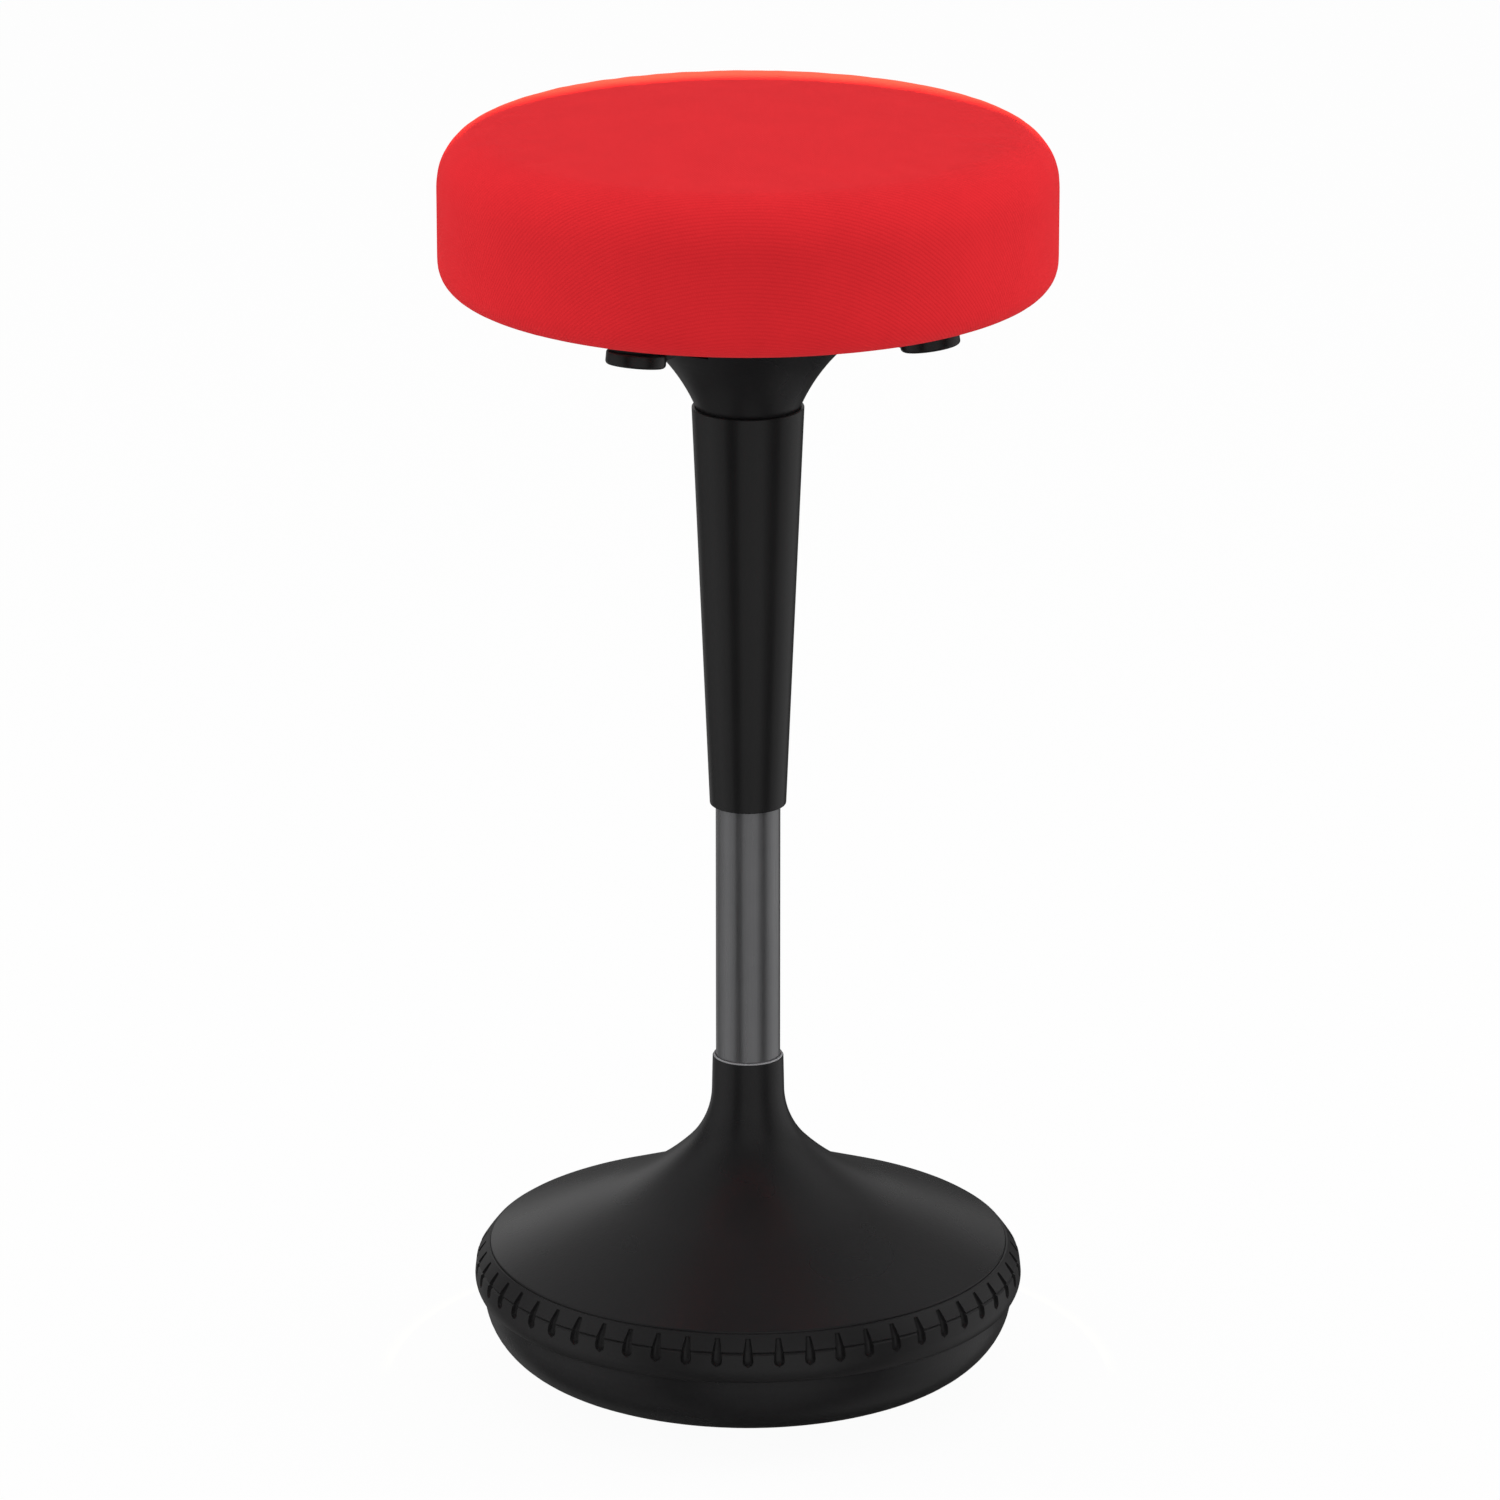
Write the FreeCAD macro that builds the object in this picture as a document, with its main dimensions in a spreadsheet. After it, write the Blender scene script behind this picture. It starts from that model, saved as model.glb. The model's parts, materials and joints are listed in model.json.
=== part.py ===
import FreeCAD, Part

import os
import re

import Sketcher

# Wobble stool: a round upholstered seat on a gas lift, standing on a weighted rocking base.
# Millimetres and degrees. The origin is on the floor under the stool's axis, +Z is up and
# -Y is the front. Every height is measured from the floor with the seat at its highest.

DIMENSIONS = {
    "cut_past": 1.0,
    "fastener_count": 4.0,
    "hex_share": 0.9,
    # Seat
    "seat_radius": 170.0,
    "seat_underside": 641.0,
    "seat_top": 731.5,
    "seat_top_round": 29.0,
    "seat_under_round": 15.0,
    "seat_crown": 3.5,
    "fabric_thickness": 1.5,
    "hem_inner_radius": 138.0,
    "board_radius": 153.0,
    "board_thickness": 12.0,
    "dust_cover_thickness": 0.5,
    "staple_pitch_radius": 147.0,
    "staple_crown": 10.0,
    "staple_wire": 0.8,
    "staple_leg": 5.0,
    "staple_count": 24.0,
    # Seat plate and release mechanism
    "arm_angle": -31.4,
    "arm_count": 4.0,
    "plate_width": 164.0,
    "plate_thickness": 3.0,
    "plate_corner": 12.0,
    "bolt_pitch_radius": 97.0,
    "bolt_radius": 3.0,
    "bolt_head_radius": 5.5,
    "bolt_head_height": 4.0,
    "bolt_length": 13.0,
    "nut_flange_radius": 9.0,
    "nut_barrel_radius": 4.2,
    "nut_barrel_rise": 2.0,
    "nut_flange_thickness": 1.2,
    "pan_radius": 48.0,
    "pan_wall": 2.5,
    "pan_floor": 608.0,
    "pan_window_width": 20.0,
    "pan_window_depth": 12.0,
    "pan_window_top": 631.0,
    "hub_radius": 19.0,
    "hub_bottom": 590.0,
    "fulcrum_radius": 34.0,
    "fulcrum_half_width": 2.5,
    "fulcrum_nose": 3.0,
    "spider_bottom": 621.0,
    "spider_thickness": 3.0,
    "spider_disc_radius": 44.0,
    "arm_width": 16.0,
    "arm_reach": 108.0,
    "arm_play": 0.3,
    "arm_slot_length": 20.0,
    "pad_circle_radius": 116.0,
    "pad_radius": 16.4,
    "pad_thickness": 8.0,
    "pad_tilt": 10.0,
    "pad_round": 2.0,
    "pad_lowest": 618.4,
    # Funnel and tapered sleeve around the lift
    "funnel_foot": 567.0,
    "funnel_foot_radius": 26.9,
    "funnel_bend_radius": 108.6,
    "funnel_foot_angle": 19.9,
    "funnel_cone_angle": 43.3,
    "funnel_rim_radius": 80.0,
    "funnel_wall": 2.4,
    "funnel_collar_bottom": 596.0,
    "funnel_collar_thickness": 3.0,
    "funnel_window_low": 613.0,
    "sleeve_top": 572.4,
    "sleeve_bottom": 342.7,
    "sleeve_top_radius": 31.1,
    "sleeve_bottom_radius": 21.4,
    "sleeve_wall": 1.6,
    "sleeve_edge": 0.8,
    "collar_bottom": 558.0,
    "collar_thickness": 6.0,
    "collar_fit": 0.05,
    # Gas lift
    "cylinder_radius": 14.0,
    "cylinder_wall": 1.5,
    "cylinder_bottom": 335.0,
    "cylinder_top": 614.0,
    "cylinder_top_radius": 13.1,
    "cylinder_top_bevel": 1.0,
    "taper_top": 612.0,
    "bore_step_bottom": 588.0,
    "cylinder_cap": 8.0,
    "pressure_radius": 12.0,
    "pressure_bore": 11.0,
    "guide_height": 12.0,
    "seal_height": 4.0,
    "seal_radius": 8.0,
    "seal_fit": 0.03,
    "pressure_tube_gap": 1.0,
    "valve_height": 18.0,
    "valve_radius": 11.3,
    "valve_bore_depth": 6.0,
    "button_radius": 4.0,
    "button_top": 620.7,
    "button_length": 14.0,
    "button_bevel": 1.5,
    "button_tip_radius": 1.0,
    "button_bore_play": 0.06,
    "rod_radius": 5.0,
    "rod_neck_radius": 4.0,
    "rod_bottom": 41.0,
    "rod_play": 0.3,
    "rod_fit": 0.06,
    "piston_bottom": 349.0,
    "piston_height": 12.0,
    "piston_fit": 0.06,
    "piston_seal_fit": 0.04,
    "ring_groove": 1.5,
    "ring_height": 3.0,
    # Standing tube and its bearing
    "tube_radius": 18.1,
    "tube_wall": 2.0,
    "tube_top": 415.0,
    "guide_sleeve_bottom": 300.0,
    "guide_sleeve_flange": 2.0,
    "flange_set_back": 0.3,
    "guide_fit": 0.06,
    "tube_floor_bottom": 44.0,
    "tube_floor_thickness": 4.0,
    "race_thickness": 2.0,
    "race_radius": 14.0,
    "ball_radius": 1.48,
    "ball_gap": 3.0,
    "ball_play": 0.05,
    "ball_circle_radius": 10.5,
    "ball_count": 12.0,
    "cage_thickness": 1.2,
    "cage_half_width": 2.6,
    "buffer_radius": 12.0,
    "buffer_height": 8.0,
    "buffer_bevel": 3.0,
    "clip_thickness": 1.0,
    "clip_radius": 7.0,
    "washer_radius": 8.5,
    "washer_gap": 0.1,
    # Base
    "foot_radius": 45.0,
    "foot_height": 0.8,
    "foot_lip": 0.5,
    "sole_thickness": 3.0,
    "sole_play": 0.3,
    "sole_bevel": 2.0,
    "rocker_radius": 200.0,
    "rocker_angle": 24.0,
    "edge_radius": 40.0,
    "edge_angle": 80.0,
    "bowl_top": 55.5,
    "bowl_wall": 4.0,
    "rim_step": 5.0,
    "rib_bottom": 10.8,
    "web_reach": 84.0,
    "web_bottom": 5.0,
    "web_top": 13.0,
    "boss_bottom": 8.6,
    "rib_count": 8.0,
    "rib_thickness": 3.0,
    "rib_reach": 100.0,
    "weight_bottom": 14.0,
    "weight_height": 22.0,
    "weight_radius": 104.0,
    "weight_bore": 24.0,
    "weight_bevel": 2.0,
    "weight_screw_circle": 92.0,
    "weight_screw_radius": 3.0,
    "weight_screw_tip": 10.0,
    "weight_screw_head_radius": 6.0,
    "weight_screw_head_height": 4.0,
    "screw_depth": 4.5,
    "weight_boss_radius": 7.0,
    "plate_radius": 75.0,
    "base_plate_thickness": 4.0,
    "plate_bolt_circle": 58.0,
    "plate_bolt_radius": 4.0,
    "plate_bolt_floor": 20.0,
    "plate_bolt_tip": 22.0,
    "plate_bolt_head_radius": 7.0,
    "plate_bolt_head_height": 5.0,
    "hole_play": 0.2,
    "socket_radius": 22.5,
    "socket_height": 66.0,
    "dome_neck_top": 193.5,
    "dome_neck_radius": 20.0,
    "neck_draft_top": 175.0,
    "neck_bore_bottom": 155.0,
    "neck_bend_start_radius": 20.4,
    "neck_bend_radius": 47.0,
    "flare_radius": 148.0,
    "flare_join_angle": 45.0,
    "cone_angle": 67.5,
    "dome_wall": 3.0,
    "lip_radius": 146.3,
    "skirt_radius": 144.8,
    "skirt_bottom": 48.0,
    "lip_thickness": 3.2,
    "lip_round": 0.6,
    "lip_gap": 0.2,
    "liner_height": 14.0,
    "liner_proud": 0.4,
    "liner_wall": 0.8,
    "liner_play": 0.05,
    # Rubber ring round the base
    "ring_inner_radius": 145.0,
    "ring_bottom": 55.5,
    "ring_foot_radius": 152.6,
    "ring_belly_radius": 155.1,
    "ring_belly": 64.0,
    "ring_crest_radius": 154.0,
    "ring_crest": 73.1,
    "ring_belly_round": 14.0,
    "ring_top": 82.2,
    "ring_top_radius": 147.5,
    "slot_count": 56.0,
    "slot_radius": 2.1,
    "slot_end_radius": 2.3,
    "slot_low_radius": 153.4,
    "slot_low": 69.0,
    "slot_angle": 16.7,
    "slot_length": 20.0,
}

doc = FreeCAD.newDocument("wobble_stool")
sheet = doc.addObject("Spreadsheet::Sheet", "dims")
for row, (alias, size) in enumerate(DIMENSIONS.items(), start=1):
    sheet.set(f"A{row}", alias)
    sheet.set(f"B{row}", str(size))
    sheet.setAlias(f"B{row}", alias)
doc.recompute()

SUB_PARTS = []
UP = FreeCAD.Vector(0, 0, 1)
RIGHT = FreeCAD.Vector(1, 0, 0)
BACK = FreeCAD.Vector(0, 1, 0)
BETWEEN_ARMS = "arm_angle + 180 / arm_count"


def bound(text):
    """The expression with each dimension's name pointing at its cell."""
    return re.sub(r"[a-z][a-z_]+", lambda word: ("dims." if word[0] in DIMENSIONS else "") + word[0], text)


def number(text):
    """The expression's value."""
    return float(sheet.evalExpression(text))


def new_body(name, turn="0"):
    """An empty sub-part, turned about the stool's axis."""
    body = doc.addObject("PartDesign::Body", name)
    body.Label = name
    body.Placement = FreeCAD.Placement(FreeCAD.Vector(), FreeCAD.Rotation(UP, number(turn)))
    if turn != "0":
        body.setExpression("Placement.Rotation.Angle", bound(turn))
    SUB_PARTS.append(body)
    return body


def origin_feature(body, role):
    """One of the body's own origin planes or axes."""
    return [feature for feature in body.Origin.OriginFeatures if feature.Role == role][0]


def upright_sketch(body):
    """A sketch on the body's upright origin plane, with x as radius and y as height."""
    sketch = body.newObject("Sketcher::SketchObject", body.Name + "_sketch")
    sketch.AttachmentSupport = (origin_feature(body, "XZ_Plane"), "")
    sketch.MapMode = "FlatFace"
    return sketch


def arc_between(start, end, radius, side):
    """The short arc from start to end with its centre on the left (1) or right (-1)."""
    along = end - start
    middle = (start + end) / 2
    reach = (radius**2 - (along.Length / 2) ** 2) ** 0.5
    left = FreeCAD.Vector(-along.y, along.x, 0) / along.Length
    centre = middle + left * (side * reach)
    circle = Part.Circle(centre, UP, radius)
    first, last = (start, end) if side > 0 else (end, start)
    return Part.ArcOfCircle(circle, circle.parameter(first), circle.parameter(last))


def pin_point(sketch, edge, place, axis, text):
    """Hold one coordinate of an edge's end at an expression, or on the sketch's axis at zero."""
    value = number(text)
    kind, zero_axis = ("DistanceX", -2) if axis == "x" else ("DistanceY", -1)
    if abs(value) < 1e-9:
        sketch.addConstraint(Sketcher.Constraint("PointOnObject", edge, place, zero_axis))
        return
    index = sketch.addConstraint(Sketcher.Constraint(kind, -1, 1, edge, place, value))
    sketch.setExpression(f"Constraints[{index}]", bound(text))


def draw(sketch, corners):
    """Close an outline through corners (x, y), with (x, y, radius, side) where an arc leads there."""
    points = [FreeCAD.Vector(number(corner[0]), number(corner[1]), 0) for corner in corners]
    ends = []
    for index, corner in enumerate(corners):
        start, end = points[index - 1], points[index]
        if len(corner) == 2:
            edge = sketch.addGeometry(Part.LineSegment(start, end), False)
            ends.append((edge, 1, 2))
            continue
        side = corner[3]
        edge = sketch.addGeometry(arc_between(start, end, number(corner[2]), side), False)
        ends.append((edge, 1, 2) if side > 0 else (edge, 2, 1))
        size = sketch.addConstraint(Sketcher.Constraint("Radius", edge, number(corner[2])))
        sketch.setExpression(f"Constraints[{size}]", bound(corner[2]))
    for index, corner in enumerate(corners):
        edge, _, end_place = ends[index]
        following, start_place, _ = ends[(index + 1) % len(ends)]
        sketch.addConstraint(Sketcher.Constraint("Coincident", edge, end_place, following, start_place))
        pin_point(sketch, edge, end_place, "x", corner[0])
        pin_point(sketch, edge, end_place, "y", corner[1])


def turned(name, corners, turn="0"):
    """A sub-part turned about the stool's axis from an outline of radius and height."""
    body = new_body(name, turn)
    sketch = upright_sketch(body)
    draw(sketch, corners)
    feature = body.newObject("PartDesign::Revolution", name + "_turning")
    feature.Profile = sketch
    feature.ReferenceAxis = (sketch, ["V_Axis"])
    feature.Angle = 360
    doc.recompute()
    return body


def ring(name, inner, outer, low, high, turn="0"):
    """A plain ring, washer, tube or, with no inner radius, disc."""
    return turned(name, [(inner, low), (outer, low), (outer, high), (inner, high)], turn)


def primitive(body, kind, sizes, place, turn_axis=UP, turn=0.0):
    """Add or cut one primitive whose sizes and place are expressions."""
    feature = body.newObject(f"PartDesign::{kind}", f"{body.Name}_{kind}")
    start = FreeCAD.Vector(*[number(text) for text in place])
    feature.Placement = FreeCAD.Placement(start, FreeCAD.Rotation(turn_axis, turn))
    for size, text in sizes.items():
        feature.setExpression(size, bound(text))
    for letter, text in zip("xyz", place):
        feature.setExpression(f"Placement.Base.{letter}", bound(text))
    doc.recompute()
    return feature


def repeat(body, features, count):
    """Repeat features round the stool's axis."""
    pattern = body.newObject("PartDesign::PolarPattern", body.Name + "_pattern")
    pattern.Originals = features
    pattern.Axis = (origin_feature(body, "Z_Axis"), [""])
    pattern.Angle = 360
    pattern.setExpression("Occurrences", bound(count))
    body.Tip = pattern
    doc.recompute()
    return pattern


def bored(body, radius, circle, low, high, count="fastener_count"):
    """Round holes on a circle, cut from low to high."""
    sizes = {"Radius": radius, "Height": f"{high} - ({low})"}
    hole = primitive(body, "SubtractiveCylinder", sizes, (circle, "0", low))
    repeat(body, [hole], count)


def headed_screws(name, circle, radius, tip, seat, head_radius, head_height, head_down=False, turn="0"):
    """Socket screws on a circle, each a solid of its own."""
    body = new_body(name, turn)
    shank_low = seat if head_down else tip
    head_low = f"{seat} - {head_height}" if head_down else seat
    socket_low = head_low if head_down else f"{seat} + {head_height} / 2"
    shank_size = {"Radius": radius, "Height": f"abs({seat} - ({tip}))"}
    head_size = {"Radius": head_radius, "Height": head_height}
    socket_size = {"Circumradius": f"{radius} * hex_share", "Height": f"{head_height} / 2"}
    shank = primitive(body, "AdditiveCylinder", shank_size, (circle, "0", shank_low))
    head = primitive(body, "AdditiveCylinder", head_size, (circle, "0", head_low))
    socket = primitive(body, "SubtractivePrism", socket_size, (circle, "0", socket_low))
    repeat(body, [shank, head, socket], "fastener_count")


def base_bowl():
    """Rocking shell of the base, with ribs and bosses that carry the iron weight."""
    middle = "(foot_height + rocker_radius)"
    turn_radius = "(foot_radius + rocker_radius * sin(rocker_angle))"
    turn_height = f"({middle} - rocker_radius * cos(rocker_angle))"
    inner_rocker = "(rocker_radius - bowl_wall)"
    inner_edge = "(edge_radius - bowl_wall)"
    edge_x = f"({turn_radius} - edge_radius * sin(rocker_angle))"
    edge_y = f"({turn_height} + edge_radius * cos(rocker_angle))"
    rim = f"({edge_x} + edge_radius * sin(edge_angle))"
    rim_height = f"({edge_y} - edge_radius * cos(edge_angle))"
    rim_run = f"(bowl_top - {rim_height}) / tan(edge_angle)"
    inner_low_x = f"({edge_x} + {inner_edge} * sin(rocker_angle))"
    inner_low_y = f"({edge_y} - {inner_edge} * cos(rocker_angle))"
    body = turned("base_bowl", [
        ("0", "sole_thickness"),
        ("foot_radius - foot_lip", "sole_thickness"),
        ("foot_radius - foot_lip", "foot_height"),
        ("foot_radius", "foot_height"),
        (turn_radius, turn_height, "rocker_radius", 1),
        (rim, rim_height, "edge_radius", 1),
        (f"{rim} + {rim_run}", "bowl_top"),
        ("ring_inner_radius", "bowl_top"),
        ("ring_inner_radius", "bowl_top - rim_step"),
        (f"{edge_x} + {inner_edge} * sin(edge_angle)", f"{edge_y} - {inner_edge} * cos(edge_angle)"),
        (inner_low_x, inner_low_y, inner_edge, -1),
        ("foot_radius", f"{middle} - {inner_rocker}", inner_rocker, -1),
        ("foot_radius - bowl_wall", "sole_thickness + bowl_wall"),
        ("0", "sole_thickness + bowl_wall"),
    ])
    ribs = (("rib_reach", "rib_bottom", "weight_bottom"), ("web_reach", "web_bottom", "web_top"))
    for reach, low, high in ribs:
        rib_size = {"Length": f"{reach} - weight_bore", "Width": "rib_thickness", "Height": f"{high} - {low}"}
        rib = primitive(body, "AdditiveBox", rib_size, ("weight_bore", "-rib_thickness / 2", low))
        repeat(body, [rib], "rib_count")
    boss_size = {"Radius": "weight_boss_radius", "Height": "weight_bottom - boss_bottom"}
    boss = primitive(body, "AdditiveCylinder", boss_size, ("weight_screw_circle", "0", "boss_bottom"))
    repeat(body, [boss], "fastener_count")
    bored(body, "weight_screw_radius", "weight_screw_circle", "weight_bottom - screw_depth",
          "weight_bottom + cut_past")


def dome_outline():
    """Expressions for the joints of the dome's outer curve: bend to flare, flare to cone, and lip."""
    bend_x = "(neck_bend_start_radius + neck_bend_radius)"
    join_x = f"({bend_x} - neck_bend_radius * cos(flare_join_angle))"
    join_z = "(neck_draft_top - neck_bend_radius * sin(flare_join_angle))"
    cone_x = f"({join_x} + flare_radius * (cos(flare_join_angle) - cos(cone_angle)))"
    cone_z = f"({join_z} - flare_radius * (sin(cone_angle) - sin(flare_join_angle)))"
    lip_z = f"({cone_z} - (lip_radius - {cone_x}) / tan(cone_angle))"
    return join_x, join_z, cone_x, cone_z, lip_z


def base_dome():
    """Trumpet-shaped upper shell with the neck round the standing tube."""
    join_x, join_z, cone_x, cone_z, lip_z = dome_outline()
    inner_join_x = f"({join_x} - dome_wall * cos(flare_join_angle))"
    inner_join_z = f"({join_z} - dome_wall * sin(flare_join_angle))"
    inner_cone_x = f"({cone_x} - dome_wall * cos(cone_angle))"
    inner_cone_z = f"({cone_z} - dome_wall * sin(cone_angle))"
    bore = "(tube_radius + liner_play)"
    liner_bore = f"({bore} + liner_wall)"
    skirt_inner = "(skirt_radius - dome_wall)"
    inner_lip_z = f"({inner_cone_z} - ({skirt_inner} - {inner_cone_x}) / tan(cone_angle))"
    turned("base_dome", [
        (liner_bore, "dome_neck_top"),
        (liner_bore, "dome_neck_top - liner_height"),
        (bore, "dome_neck_top - liner_height"),
        (bore, "neck_bore_bottom"),
        (inner_join_x, inner_join_z, "neck_bend_radius + dome_wall", 1),
        (inner_cone_x, inner_cone_z, "flare_radius + dome_wall", 1),
        (skirt_inner, inner_lip_z),
        (skirt_inner, "skirt_bottom"),
        ("skirt_radius", "skirt_bottom"),
        ("skirt_radius", f"{lip_z} - lip_thickness"),
        ("lip_radius", f"{lip_z} - lip_thickness"),
        ("lip_radius", f"{lip_z} - lip_round"),
        ("lip_radius - lip_round", f"{lip_z} + lip_round / tan(cone_angle)"),
        (cone_x, cone_z),
        (join_x, join_z, "flare_radius", -1),
        ("neck_bend_start_radius", "neck_draft_top", "neck_bend_radius", -1),
        ("dome_neck_radius", "dome_neck_top"),
    ])


def bumper_ring():
    """Rubber ring with a crest line and a row of tear-shaped slots."""
    under_lip = f"({dome_outline()[-1]} - lip_thickness - lip_gap)"
    body = turned("bumper_ring", [
        ("ring_inner_radius", "ring_bottom"),
        ("ring_foot_radius", "ring_bottom"),
        ("ring_belly_radius", "ring_belly", "ring_belly_round", 1),
        ("ring_crest_radius", "ring_crest"),
        ("ring_top_radius", "ring_top"),
        ("lip_radius + lip_gap", "ring_top"),
        ("lip_radius + lip_gap", under_lip),
        ("ring_inner_radius", under_lip),
    ])
    place = ("slot_low_radius", "0", "slot_low")
    groove_size = {"Radius": "slot_radius", "Height": "slot_length"}
    groove = primitive(body, "SubtractiveCylinder", groove_size, place, BACK, -number("slot_angle"))
    end = primitive(body, "SubtractiveSphere", {"Radius": "slot_end_radius"}, place)
    repeat(body, [groove, end], "slot_count")


def base_weight():
    """Iron weight, base plate, their screws, the socket that holds the tube, and the sole."""
    plate_low = "(weight_bottom + weight_height)"
    plate_high = f"({plate_low} + base_plate_thickness)"
    weight = turned("counterweight", [
        ("weight_bore", "weight_bottom"),
        ("weight_radius - weight_bevel", "weight_bottom"),
        ("weight_radius", "weight_bottom + weight_bevel"),
        ("weight_radius", f"{plate_low} - weight_bevel"),
        ("weight_radius - weight_bevel", plate_low),
        ("weight_bore", plate_low),
    ])
    bored(weight, "weight_screw_radius + hole_play", "weight_screw_circle", "weight_bottom - cut_past",
          f"{plate_low} + cut_past")
    bored(weight, "plate_bolt_radius", "plate_bolt_circle", "plate_bolt_floor", f"{plate_low} + cut_past")
    headed_screws("counterweight_screws", "weight_screw_circle", "weight_screw_radius", "weight_screw_tip",
                  plate_low, "weight_screw_head_radius", "weight_screw_head_height")
    plate = ring("base_plate", "0", "plate_radius", plate_low, plate_high)
    bored(plate, "plate_bolt_radius + hole_play", "plate_bolt_circle", f"{plate_low} - cut_past",
          f"{plate_high} + cut_past")
    headed_screws("plate_bolts", "plate_bolt_circle", "plate_bolt_radius", "plate_bolt_tip", plate_high,
                  "plate_bolt_head_radius", "plate_bolt_head_height")
    ring("column_socket", "tube_radius", "socket_radius", plate_high, f"{plate_high} + socket_height")
    sole_side = "(foot_radius - foot_lip - sole_play)"
    turned("sole_pad", [
        ("0", "0"),
        ("foot_radius - sole_bevel", "0"),
        (sole_side, "foot_height"),
        (sole_side, "sole_thickness"),
        ("0", "sole_thickness"),
    ])


def standing_tube():
    """Outer tube of the lift with its guide sleeve, floor, thrust bearing and neck liner."""
    bore = "(tube_radius - tube_wall)"
    tube_low = "weight_bottom + weight_height + base_plate_thickness"
    ring("standing_tube", bore, "tube_radius", tube_low, "tube_top")
    turned("guide_sleeve", [
        ("cylinder_radius + guide_fit", "guide_sleeve_bottom"),
        (bore, "guide_sleeve_bottom"),
        (bore, "tube_top"),
        ("tube_radius - flange_set_back", "tube_top"),
        ("tube_radius - flange_set_back", "tube_top + guide_sleeve_flange"),
        ("cylinder_radius + guide_fit", "tube_top + guide_sleeve_flange"),
    ])
    turned("neck_liner", [
        ("tube_radius + liner_play", "dome_neck_top - liner_height"),
        ("tube_radius + liner_play + liner_wall", "dome_neck_top - liner_height"),
        ("tube_radius + liner_play + liner_wall", "dome_neck_top + liner_proud / 2"),
        ("tube_radius + liner_play + liner_wall / 2", "dome_neck_top + liner_proud"),
        ("tube_radius + liner_play", "dome_neck_top + liner_proud"),
    ])
    floor_top = "(tube_floor_bottom + tube_floor_thickness)"
    race_top = f"({floor_top} + race_thickness)"
    ring("tube_floor", "rod_radius + rod_play", bore, "tube_floor_bottom", floor_top)
    ring("lower_race", "rod_radius + rod_play", "race_radius", floor_top, race_top)
    middle = f"({race_top} + ball_gap / 2)"
    balls = new_body("bearing_balls")
    ball = primitive(balls, "AdditiveSphere", {"Radius": "ball_radius"}, ("ball_circle_radius", "0", middle))
    repeat(balls, [ball], "ball_count")
    cage = ring("ball_cage", "ball_circle_radius - cage_half_width", "ball_circle_radius + cage_half_width",
                f"{middle} - cage_thickness / 2", f"{middle} + cage_thickness / 2")
    bored(cage, "ball_radius + ball_play", "ball_circle_radius", f"{middle} - cage_thickness",
          f"{middle} + cage_thickness", "ball_count")
    upper_low = f"({race_top} + ball_gap)"
    upper_high = f"({upper_low} + race_thickness)"
    ring("upper_race", "rod_radius", "race_radius", upper_low, upper_high)
    turned("rod_buffer", [
        ("rod_radius", upper_high),
        ("buffer_radius", upper_high),
        ("buffer_radius", f"{upper_high} + buffer_height - buffer_bevel"),
        ("buffer_radius - buffer_bevel", f"{upper_high} + buffer_height"),
        ("rod_radius", f"{upper_high} + buffer_height"),
    ])


def piston_and_rod():
    """Rod fixed in the tube's floor, its clip and washer, and the piston on top."""
    clip_low = "(tube_floor_bottom - 2 * clip_thickness)"
    clip_high = "(tube_floor_bottom - clip_thickness)"
    top = "(piston_bottom + piston_height)"
    turned("piston_rod", [
        ("0", "rod_bottom"),
        ("rod_neck_radius", "rod_bottom"),
        ("rod_neck_radius", clip_high),
        ("rod_radius", clip_high),
        ("rod_radius", "piston_bottom"),
        ("rod_neck_radius", "piston_bottom"),
        ("rod_neck_radius", top),
        ("0", top),
    ])
    ring("rod_clip", "rod_neck_radius", "clip_radius", clip_low, clip_high)
    ring("rod_washer", "rod_radius", "washer_radius", clip_high, "tube_floor_bottom - washer_gap")
    wall = "(pressure_bore - piston_fit)"
    groove_low = "(piston_bottom + (piston_height - ring_height) / 2)"
    groove_high = f"({groove_low} + ring_height)"
    turned("piston", [
        ("rod_neck_radius", "piston_bottom"),
        (wall, "piston_bottom"),
        (wall, groove_low),
        (f"{wall} - ring_groove", groove_low),
        (f"{wall} - ring_groove", groove_high),
        (wall, groove_high),
        (wall, top),
        ("rod_neck_radius", top),
    ])
    ring("piston_seal", f"{wall} - ring_groove", "pressure_bore - piston_seal_fit", groove_low, groove_high)


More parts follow.
